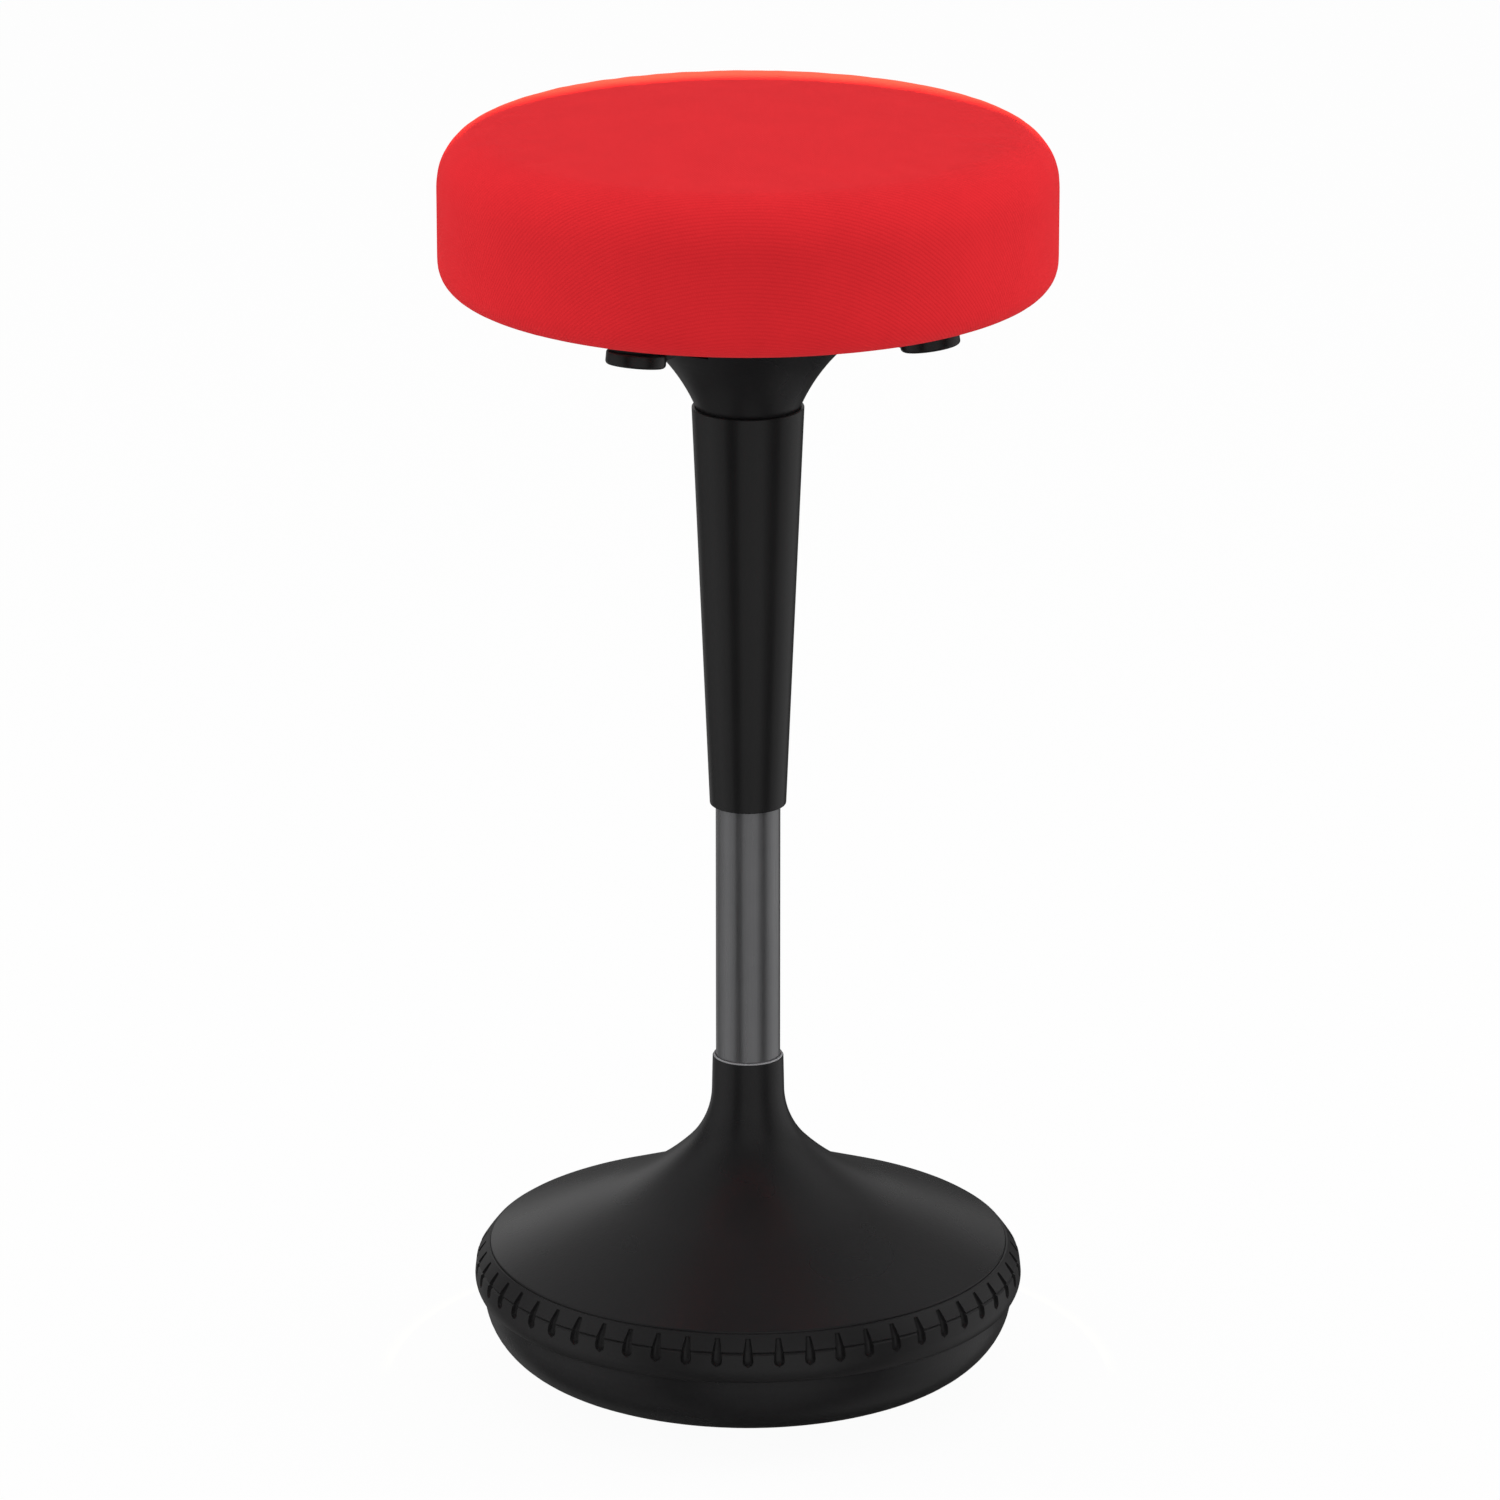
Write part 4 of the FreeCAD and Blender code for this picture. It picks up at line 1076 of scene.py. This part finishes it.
    def staples(self) -> None:
        """Drive a row of wire staples through the hem."""
        rule = GeometryRule("staple_row")
        circle = rule.size("Circle", self.staple_circle * MM)
        half = rule.size("Half Crown", (self.staple_crown - self.staple_wire) / 2 * MM)
        low = rule.size("Height", (self.underside - self.staple_wire / 2) * MM)
        leg = rule.size("Leg", self.staple_leg * MM)
        wire = rule.size("Wire", self.staple_wire / 2 * MM)
        minus, top = rule.maths("MULTIPLY", half, -1.0), rule.maths("ADD", low, leg)
        corners = [rule.first("CombineXYZ", {"X": circle, "Y": side, "Z": height})
                   for side, height in ((minus, top), (minus, low), (half, low), (half, top))]
        runs = rule.add("GeometryNodeJoinGeometry")
        for start, end in zip(corners, corners[1:]):
            run = rule.first("GeometryNodeCurvePrimitiveLine", {"Start": start, "End": end})
            tube = rule.first("GeometryNodeCurvePrimitiveCircle", {"Resolution": 8, "Radius": wire})
            sockets = {"Curve": run, "Profile Curve": tube, "Fill Caps": True}
            rule.tree.links.new(rule.first("GeometryNodeCurveToMesh", sockets), runs.inputs[0])
        copies = rule.round_copies(runs.outputs[0], self.staple_count)
        piece = rule.bake("staple_ring", copies, "zinc_steel")
        settle(piece, Body.SEAT, "zinc_steel", "hem_staples")

    def build(self) -> None:
        """Make every piece of the seat."""
        self.cover()
        self.foam()
        self.dust_sheet()
        self.staples()


@dataclass
class TreadRing:
    """Rubber ring round the base, with a sharp crest and a row of tear-shaped slots."""

    inner: float = 145.0
    low: float = 55.5
    underside_break: float = 149.0
    foot: float = 152.6
    foot_edge: float = 0.5
    foot_rise: float = 0.4
    belly: Point = (155.1, 64.0)
    belly_bend: float = 14.0
    crest: Point = (154.0, 73.1)
    top: Point = (147.5, 82.2)
    steps: tuple[int, int] = (18, 20)
    bulges: Point = (0.1, 0.2)
    lip_inner: float = 146.5
    lip_low: float = 79.4
    slots: int = 56
    slot_width: float = 3.0
    slot_tip_width: float = 1.3
    slot_depth: float = 3.6
    slot_taper: float = 1.5
    slot_low: float = 68.9
    slot_tip: float = 80.4
    parting_depth: float = 1.2
    parting_width: float = 0.8
    columns: tuple[float, ...] = (0.0, 0.3, 0.55, 0.75, 0.9, 0.975, 1.0, 1.06)
    spread: tuple[float, ...] = (0.3, 0.62, 1.0)

    def section(self) -> Outline:
        """The ring's outline, with close points where the slots cross it.

        Returns:
            The outline.
        """
        outline = Outline().line(self.inner, self.low).line(self.underside_break, self.low)
        outline.line(self.foot - self.foot_edge, self.low).line(self.foot, self.low + self.foot_rise)
        outline.arc(*self.belly, self.belly_bend, Bend.LEFT, 6)
        corners = (self.belly, self.crest, self.top)
        for start, end, steps, bulge in zip(corners, corners[1:], self.steps, self.bulges):
            for share in np.linspace(0.0, 1.0, steps + 1)[1:]:
                outline.line(*self.between(start, end, share, bulge))
        outline.line(self.lip_inner, self.top[1]).line(self.lip_inner, self.lip_low)
        return outline.line(self.inner, self.lip_low)

    def between(self, start: Point, end: Point, share: float, bulge: float) -> Point:
        """A point on a slightly bulging line.

        Args:
            start: Where the line starts.
            end: Where it ends.
            share: Share of the way.
            bulge: How far its middle stands out.

        Returns:
            The point.
        """
        out = bulge * 4 * share * (1 - share)
        run = (end[0] - start[0], end[1] - start[1])
        length = math.hypot(*run)
        return (start[0] + run[0] * share + run[1] / length * out,
                start[1] + run[1] * share - run[0] / length * out)

    def slot_share(self, height: float) -> float:
        """Share of the way from the slot's round lower end to its tip."""
        return min(max((height - self.slot_low) / (self.slot_tip - self.slot_low), 0.0), 1.0)

    def half_width(self, height: float) -> float:
        """Half the slot's width at a height, with a small least value so that the mesh stays even.

        Args:
            height: Height above the floor.

        Returns:
            Half the width.
        """
        if height < self.slot_low:
            return math.sqrt(max(self.slot_width**2 - (self.slot_low - height) ** 2, 0.5))
        narrowing = self.slot_share(height) ** self.slot_taper
        return self.slot_width + (self.slot_tip_width - self.slot_width) * narrowing

    def sunk(self, offset: float, height: float) -> float:
        """How deep the slot and the parting line are cut.

        Args:
            offset: Sideways distance from the slot's middle.
            height: Height above the floor.

        Returns:
            Depth below the ring's face.
        """
        parting = self.parting_depth * max(0.0, 1.0 - abs(height - self.crest[1]) / self.parting_width)
        if not self.slot_low - self.slot_width < height < self.slot_tip:
            return parting
        across = min(abs(offset) / self.half_width(height), 1.0)
        round_end = min((height - self.slot_low + self.slot_width) / self.slot_width, 1.0)
        tip = math.sqrt(max(1.0 - self.slot_share(height) ** 3, 0.0))
        depth = self.slot_depth * tip * math.sqrt(max(1.0 - (1.0 - round_end) ** 2, 0.0))
        return max(parting, depth * math.sqrt(max(1.0 - across**4, 0.0)))

    def sector(self) -> Piece:
        """One slot's share of the ring.

        Returns:
            The sector, open at both ends.
        """
        places, points = [], self.section().points
        for radius, height in points:
            offsets = [share * self.half_width(height) for share in self.columns]
            last, edge = offsets[-1], radius * math.tan(math.pi / self.slots)
            offsets += [last + (edge - last) * share for share in self.spread]
            for offset in [-offset for offset in offsets[:0:-1]] + offsets:
                depth = radius - (self.sunk(offset, height) if radius > self.lip_inner else 0.0)
                angle = math.atan2(offset, radius)
                places.append((depth * MM * math.cos(angle), depth * MM * math.sin(angle), height * MM))
        across = len(places) // len(points)
        faces = []
        for row in range(len(points)):
            after = (row + 1) % len(points)
            for column in range(across - 1):
                low, high = row * across + column, after * across + column
                faces.append((low, low + 1, high + 1, high))
        return new_piece("tread_sector", np.array(places), faces)

    def build(self) -> None:
        """Repeat the sector round the base."""
        sector = self.sector()
        rule = GeometryRule("tread_rule")
        source = rule.size("Sector", sector, "Object")
        shape = rule.add("GeometryNodeObjectInfo", {"Object": source}, transform_space="ORIGINAL")
        copies = rule.round_copies(shape.outputs["Geometry"], self.slots)
        piece = rule.bake("tread_ring", copies, "black_rubber", 28.0)
        bpy.data.objects.remove(sector)
        settle(piece, Body.BASE, "black_rubber", "bumper_ring")


@dataclass
class RockingBase:
    """Sole, trumpet-shaped dome and its liner. The rocking bowl stays as built."""

    foot_height: float = 0.8
    sole_side: float = 44.0
    sole_flat: float = 42.6
    sole_top: float = 2.95
    grooves: tuple[float, ...] = (14.0, 22.0, 30.0, 38.0)
    groove_depth: float = 0.7
    groove_width: float = 2.0
    groove_slope: float = 0.4
    neck_top: float = 193.5
    neck_radius: float = 20.0
    neck_bore: float = 18.15
    neck_bore_low: float = 155.0
    mouth_bore: float = 18.95
    mouth_depth: float = 14.0
    bead_radius: float = 19.5
    bead_height: float = 0.8
    draft_top: float = 175.0
    bend_start: float = 20.4
    bend: float = 47.0
    flare: float = 148.0
    flare_join: float = 45.0
    cone: float = 67.5
    dome_wall: float = 3.0
    lip_radius: float = 146.3
    lip_thickness: float = 3.2
    lip_round: float = 0.7
    skirt_radius: float = 144.8
    skirt_low: float = 48.0

    def sole(self) -> None:
        """Make the round rubber sole, with rings of grip grooves."""
        outline = Outline().line(0.0, 0.0)
        for radius in self.grooves:
            far = radius + self.groove_width
            outline.line(radius, 0.0).line(radius + self.groove_slope, self.groove_depth)
            outline.line(far - self.groove_slope, self.groove_depth).line(far, 0.0)
        outline.line(self.sole_flat, 0.0).arc(self.sole_side, self.foot_height + 0.1, 3.0, Bend.LEFT, 4)
        outline.line(self.sole_side, self.sole_top).line(0.0, self.sole_top)
        settle(turned("grooved_sole", outline, 96), Body.BASE, "black_rubber", "sole_pad")

    def dome(self) -> None:
        """Make the dome from its neck to the lip over the ring."""
        join, steep = math.radians(self.flare_join), math.radians(self.cone)
        start = (self.bend_start + self.bend * (1 - math.cos(join)),
                 self.draft_top - self.bend * math.sin(join))
        cone = (start[0] + self.flare * (math.cos(join) - math.cos(steep)),
                start[1] - self.flare * (math.sin(steep) - math.sin(join)))
        lip = cone[1] - (self.lip_radius - cone[0]) / math.tan(steep)
        wall = self.dome_wall
        inner_start = (start[0] - wall * math.cos(join), start[1] - wall * math.sin(join))
        inner_cone = (cone[0] - wall * math.cos(steep), cone[1] - wall * math.sin(steep))
        skirt = self.skirt_radius - wall
        inner_lip = inner_cone[1] - (skirt - inner_cone[0]) / math.tan(steep)
        mouth_low = self.neck_top - self.mouth_depth
        outline = Outline().line(self.mouth_bore, self.neck_top).line(self.mouth_bore, mouth_low)
        outline.line(self.neck_bore, mouth_low).line(self.neck_bore, self.neck_bore_low)
        outline.arc(*inner_start, self.bend + wall, Bend.LEFT, 12)
        outline.arc(*inner_cone, self.flare + wall, Bend.LEFT, 14)
        outline.line(skirt, inner_lip).line(skirt, self.skirt_low).line(self.skirt_radius, self.skirt_low)
        lip_low = lip - self.lip_thickness
        outline.line(self.skirt_radius, lip_low).line(self.lip_radius, lip_low)
        outline.line(self.lip_radius, lip - self.lip_round)
        outline.arc(self.lip_radius - self.lip_round, lip + 0.29, 0.9, Bend.LEFT, 3)
        outline.line(*cone).arc(*start, self.flare, Bend.RIGHT, 28)
        outline.arc(self.bend_start, self.draft_top, self.bend, Bend.RIGHT, 24)
        outline.line(self.neck_radius, self.neck_top - 0.35).line(self.neck_radius - 0.3, self.neck_top)
        settle(turned("trumpet_dome", outline, 192), Body.BASE, "black_shell", "base_dome")

    def bead(self) -> None:
        """Make the thin liner that shows at the neck's mouth, light grey in place of its black satin as a
        painted highlight along the mouth.
        """
        low, high = self.neck_top - self.mouth_depth, self.neck_top + 0.05
        outline = Outline().line(self.neck_bore, low).line(self.mouth_bore, low).line(self.mouth_bore, high)
        outline.line(self.bead_radius, high)
        outline.arc(self.bead_radius - 0.5, high + self.bead_height, 0.6, Bend.LEFT, 4)
        outline.arc(self.neck_bore, high + 0.3, 1.0, Bend.LEFT, 4)
        piece = turned("neck_bead", outline, 96)
        # Painted highlight: the grey finish stands in for the bright line at the neck's mouth; the liner
        # itself is black satin.
        settle(piece, Body.BASE, "black_satin", "neck_liner", finish="grey_nylon")

    def build(self) -> None:
        """Make every piece of the base."""
        self.sole()
        self.dome()
        self.bead()


@dataclass
class LiftColumn:
    """Grey standing tube with the tapered sleeve that slides over it."""

    tube_radius: float = 18.1
    tube_wall: float = 2.0
    tube_low: float = 40.0
    tube_top: float = 415.0
    tube_rings: tuple[float, ...] = (200.0, 300.0)
    chamfer: float = 0.4
    sleeve_low: float = 342.7
    sleeve_top: float = 572.4
    sleeve_low_radius: float = 21.4
    sleeve_top_radius: float = 31.1
    sleeve_wall: float = 1.6
    edge: float = 0.8

    def tube(self) -> None:
        """Make the standing tube, with its ends chamfered."""
        inner, outer, cut = self.tube_radius - self.tube_wall, self.tube_radius, self.chamfer
        outline = Outline().line(inner, self.tube_low).line(outer - cut, self.tube_low)
        outline.line(outer, self.tube_low + cut)
        for height in self.tube_rings:
            outline.line(outer, height)
        outline.line(outer, self.tube_top - cut).line(outer - cut, self.tube_top).line(inner, self.tube_top)
        settle(turned("grey_lift_tube", outline), Body.BASE, "grey_tube", "standing_tube")

    def sleeve(self) -> None:
        """Make the tapered sleeve, with rounded ends."""
        low, high, edge = self.sleeve_low, self.sleeve_top, self.edge
        narrow, wide = self.sleeve_low_radius, self.sleeve_top_radius
        outline = Outline().line(narrow - self.sleeve_wall, low).line(narrow - edge, low)
        outline.arc(narrow, low + edge, edge, Bend.LEFT, 4).line(wide, high - edge)
        outline.arc(wide - edge, high, edge, Bend.LEFT, 4).line(wide - self.sleeve_wall, high)
        settle(turned("tapered_lift_sleeve", outline), Body.SEAT, "black_satin", "tapered_sleeve")

    def build(self) -> None:
        """Make both pieces."""
        self.tube()
        self.sleeve()


@dataclass
class FingerPads:
    """Four round pads on the release lever's arms."""

    circle: float = 116.0
    radius: float = 16.4
    thickness: float = 8.0
    tilt: float = 10.0
    lowest: float = 618.4
    arm_angle: float = -31.4
    names: tuple[str, ...] = ("front_left", "front_right", "back_right", "back_left")
    face: tuple[Point, ...] = ((0.0, 0.9), (5.0, 0.8), (9.5, 0.5), (11.4, 0.35), (11.9, 0.0))
    low_round: float = 2.0
    high_round: float = 1.6
    top_ring: float = 8.0

    def outline(self) -> Outline:
        """A pad's own outline: softly domed below with a ridge round its rim.

        Returns:
            The outline.
        """
        edge, high = self.radius, self.thickness
        outline = Outline(list(self.face)).line(edge - self.low_round, 0.0)
        outline.arc(edge, self.low_round, self.low_round, Bend.LEFT, 5).line(edge, high - self.high_round)
        outline.arc(edge - self.high_round, high, self.high_round, Bend.LEFT, 5)
        return outline.line(self.top_ring, high).line(0.0, high)

    def build(self) -> None:
        """Make a pad over the end of each arm."""
        tilt = math.radians(self.tilt)
        low = self.lowest + self.radius * math.sin(tilt)
        reach = Matrix.Translation((0.0, -self.circle * MM, low * MM)) @ Matrix.Rotation(-tilt, 4, "X")
        for step, name in enumerate(self.names):
            piece = turned("finger_pad_" + name, self.outline(), 64)
            piece.data.transform(Matrix.Rotation(math.radians(self.arm_angle + 90.0 * step), 4, "Z") @ reach)
            settle(piece, Body.LEVER, "black_satin", "lever_pad_" + name)


class CarriedNodes:
    """CAD nodes whose shape is right: they stay and get their slot's finish."""

    def build(self) -> None:
        """Dress every node that no piece stands for."""
        slots = {row["node"]: row["material_slot"] for row in frame["record"]["subparts"]}
        for name, node in frame["nodes"].items():
            if node.hide_render:
                continue
            node.data.materials.clear()
            node.data.materials.append(material_of(slots[name]))
            log.info("%s: kept as built, in %s", name, slots[name])


# Studio


@dataclass(frozen=True)
class SoftBox:
    """A rectangular lamp that looks at the stool: place and size in metres, power in watts."""

    name: str
    place: tuple[float, float, float]
    size: Point
    power: float
    aim: tuple[float, float, float] = (0.0, 0.0, 0.4)

    def build(self) -> None:
        """Hang the lamp."""
        data = bpy.data.lights.new(self.name, "AREA")
        data.shape, data.size, data.size_y = "RECTANGLE", *self.size
        data.energy = self.power
        lamp = bpy.data.objects.new(self.name, data)
        lamp.location = self.place
        lamp.rotation_euler = (Vector(self.aim) - lamp.location).to_track_quat("-Z", "Y").to_euler()
        lamp.visible_glossy = False
        bpy.context.scene.collection.objects.link(lamp)


@dataclass
class HairLight:
    """A warm spot over the seat, with a round flag that leaves only the back rim in its beam, in metres."""

    height: float = 4.0
    target: float = 0.73
    power: float = 2700.0
    colour: Colour = (1.0, 0.95, 0.32)
    reach: float = 0.169
    flag_forward: float = 0.048
    flag_radius: float = 0.172
    flag_soft: Point = (0.002, 0.003)

    def build(self) -> None:
        """Hang the lamp and its flag."""
        data = bpy.data.lights.new("hair_light", "SPOT")
        data.energy, data.color = self.power, self.colour
        data.shadow_soft_size, data.spot_blend = 0.01, 0.1
        drop = self.height - self.target
        data.spot_size = 2 * math.atan(self.reach / drop)
        data.use_nodes = True
        nodes = Nodes(data.node_tree)
        way = nodes.axes(nodes.add("TexCoord").outputs["Normal"])
        down = nodes.maths("ABSOLUTE", way["Z"])
        side, back = (nodes.maths("MULTIPLY", nodes.maths("DIVIDE", way[axis], down), drop) for axis in "XY")
        moved = nodes.maths("ADD", back, self.flag_forward)
        flat = nodes.first("CombineXYZ", {"X": side, "Y": moved})
        reach = nodes.add("VectorMath", {0: flat}, operation="LENGTH").outputs["Value"]
        inner, outer = self.flag_radius - self.flag_soft[0], self.flag_radius + self.flag_soft[1]
        past = nodes.fit(reach, inner, outer, bend="SMOOTHSTEP")
        nodes.fill(data.node_tree.nodes["Emission"], {"Strength": past})
        lamp = bpy.data.objects.new("hair_light", data)
        lamp.location = (0.0, 0.0, self.height)
        lamp.visible_glossy = False
        bpy.context.scene.collection.objects.link(lamp)


@dataclass
class Surround:
    """White to the camera, even for matt surfaces, with soft boxes and dark flags for gloss.

    Bearings are in degrees from the front, to the right positive. Heights are in degrees up. Each point
    is an angle and the brightness there.
    """

    even: float = 0.68
    boxes: tuple[Point, ...] = (
        (-180.0, 0.06), (-152.0, 0.2), (-128.0, 0.09), (-108.0, 0.2), (-82.0, 0.31), (-52.0, 0.25),
        (-40.0, 0.0), (-27.0, 0.0), (-14.0, 0.27), (30.0, 0.3), (46.0, 0.1), (54.0, 0.0), (64.0, 0.0),
        (78.0, 0.24), (106.0, 0.36), (130.0, 0.3), (150.0, 0.06), (180.0, 0.05))
    box_heights: tuple[Point, ...] = (
        (-90.0, 0.2), (-50.0, 0.45), (-25.0, 1.0), (0.0, 1.0), (30.0, 0.7), (60.0, 0.1), (90.0, 0.0))
    behind: tuple[Point, ...] = (
        (-180.0, 0.4), (-166.0, 0.5), (-132.0, 0.0), (138.0, 0.0), (170.0, 0.34), (180.0, 0.4))
    behind_heights: tuple[Point, ...] = (
        (-90.0, 0.0), (-2.0, 0.0), (8.0, 0.75), (20.0, 0.85), (34.0, 0.0), (90.0, 0.0))
    overhead: tuple[Point, ...] = (
        (-180.0, 0.0), (-171.0, 0.0), (-150.0, 0.18), (-110.0, 0.16), (-50.0, 0.05), (50.0, 0.05),
        (110.0, 0.16), (148.0, 0.18), (170.0, 0.0), (180.0, 0.0))
    overhead_heights: tuple[Point, ...] = ((-90.0, 0.0), (20.0, 0.0), (42.0, 1.0), (66.0, 1.0), (90.0, 0.2))

    def bands(self, nodes: Nodes, angle: Socket, reach: float, stops: tuple[Point, ...]) -> Socket:
        """Brightness by angle, eased between stops.

        Args:
            nodes: The world's nodes.
            angle: Angle in radians.
            reach: Largest size of the angle.
            stops: Degrees and brightness, in rising order.

        Returns:
            The brightness.
        """
        ramp = nodes.add("ValToRGB", {0: nodes.fit(angle, -reach, reach)})
        ramp.color_ramp.interpolation = "EASE"
        points = ramp.color_ramp.elements
        for number, (degrees, value) in enumerate(stops):
            spot = math.radians(degrees) / (2 * reach) + 0.5
            point = points[number] if number < 2 else points.new(spot)
            point.position, point.color = spot, (value, value, value, 1.0)
        return ramp.outputs[0]

    def build(self) -> None:
        """Make the world."""
        world = bpy.data.worlds.new("surround")
        world.use_nodes = True
        nodes = Nodes(world.node_tree)
        rays = nodes.add("LightPath").outputs
        way = nodes.axes(nodes.place())
        bearing = nodes.maths("ARCTAN2", way["X"], nodes.maths("MULTIPLY", way["Y"], -1.0))
        height = nodes.maths("ARCSINE", way["Z"])
        gloss = 0.0
        for across, upward in ((self.boxes, self.box_heights), (self.behind, self.behind_heights),
                               (self.overhead, self.overhead_heights)):
            level = self.bands(nodes, bearing, math.pi, across)
            share = self.bands(nodes, height, math.pi / 2, upward)
            gloss = nodes.maths("MULTIPLY_ADD", level, share, gloss)
        matt = nodes.first("Mix", {0: rays["Is Glossy Ray"], 2: self.even, 3: gloss})
        seen = nodes.maths("MAXIMUM", rays["Is Camera Ray"], rays["Is Transmission Ray"])
        strength = nodes.first("Mix", {0: seen, 2: matt, 3: 1.0})
        nodes.fill(world.node_tree.nodes["Background"], {"Strength": strength, "Color": (1.0, 1.0, 1.0)})
        bpy.context.scene.world = world


@dataclass
class Floor:
    """A white floor that keeps the stool's soft shadow and is clear from below, in metres."""

    reach: float = 40.0
    colour: Colour = (0.8, 0.8, 0.8)
    roughness: float = 0.9
    glow: float = 0.96

    def build(self) -> None:
        """Lay the floor."""
        corners = [(x * self.reach, y * self.reach, 0.0) for x, y in ((-1, -1), (1, -1), (1, 1), (-1, 1))]
        plane = new_piece("studio_floor", np.array(corners), [(0, 1, 2, 3)])
        material = bpy.data.materials.new("white_floor")
        material.use_nodes = True
        nodes = Nodes(material.node_tree)
        shader = nodes.tree.nodes["Principled BSDF"]
        nodes.fill(shader, {"Base Color": self.colour, "Roughness": self.roughness})
        glow = nodes.first("Emission", {"Color": (1.0, 1.0, 1.0), "Strength": 1.0})
        share = nodes.maths("MULTIPLY", nodes.add("LightPath").outputs["Is Camera Ray"], self.glow)
        above = nodes.first("MixShader", {0: share, 1: shader.outputs[0], 2: glow})
        below = nodes.add("NewGeometry").outputs["Backfacing"]
        clear = nodes.first("BsdfTransparent")
        both = nodes.first("MixShader", {0: below, 1: above, 2: clear})
        nodes.fill(nodes.tree.nodes["Material Output"], {"Surface": both})
        plane.data.materials.append(material)
        plane.visible_glossy = False


@dataclass
class Studio:
    """Camera, floor, surround and lamps. The camera stands as the photograph was taken."""

    camera_height: float = 1758.4
    camera_back: float = 4355.1
    aim_height: float = 373.5
    aim_side: float = 1.1
    lens: float = 196.73
    sensor: float = 36.0
    clip_end: float = 100.0
    lamps: tuple[SoftBox, ...] = (
        SoftBox("left_box", (-3.0, 0.5, 1.2), (1.4, 1.8), 26.0),
        SoftBox("right_box", (3.0, 0.4, 1.2), (1.4, 1.8), 30.0),
        SoftBox("top_box", (0.0, -0.4, 3.2), (2.2, 1.6), 19.0),
        SoftBox("front_fill", (0.0, -3.6, 1.6), (2.0, 1.0), 5.0))

    def camera(self) -> None:
        """Place the camera."""
        data = bpy.data.cameras.new("view")
        data.lens, data.sensor_width, data.clip_end = self.lens, self.sensor, self.clip_end
        view = bpy.data.objects.new("view", data)
        view.location = (self.aim_side * MM, -self.camera_back * MM, self.camera_height * MM)
        aim = Vector((self.aim_side * MM, 0.0, self.aim_height * MM))
        view.rotation_euler = (aim - view.location).to_track_quat("-Z", "Y").to_euler()
        bpy.context.scene.collection.objects.link(view)
        bpy.context.scene.camera = view

    def build(self) -> None:
        """Set up the whole studio."""
        self.camera()
        for part in (Floor(), Surround(), *self.lamps, HairLight()):
            part.build()
        bpy.context.scene.view_settings.view_transform = "Standard"


def main() -> None:
    """Build the stool's looks round its frame."""
    logging.basicConfig(level=logging.INFO, format="%(message)s")
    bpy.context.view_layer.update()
    for part in (SeatPad(), TreadRing(), RockingBase(), LiftColumn(), FingerPads(), CarriedNodes(), Studio()):
        log.info("Building %s", type(part).__name__)
        part.build()


if __name__ == "__main__":
    main()
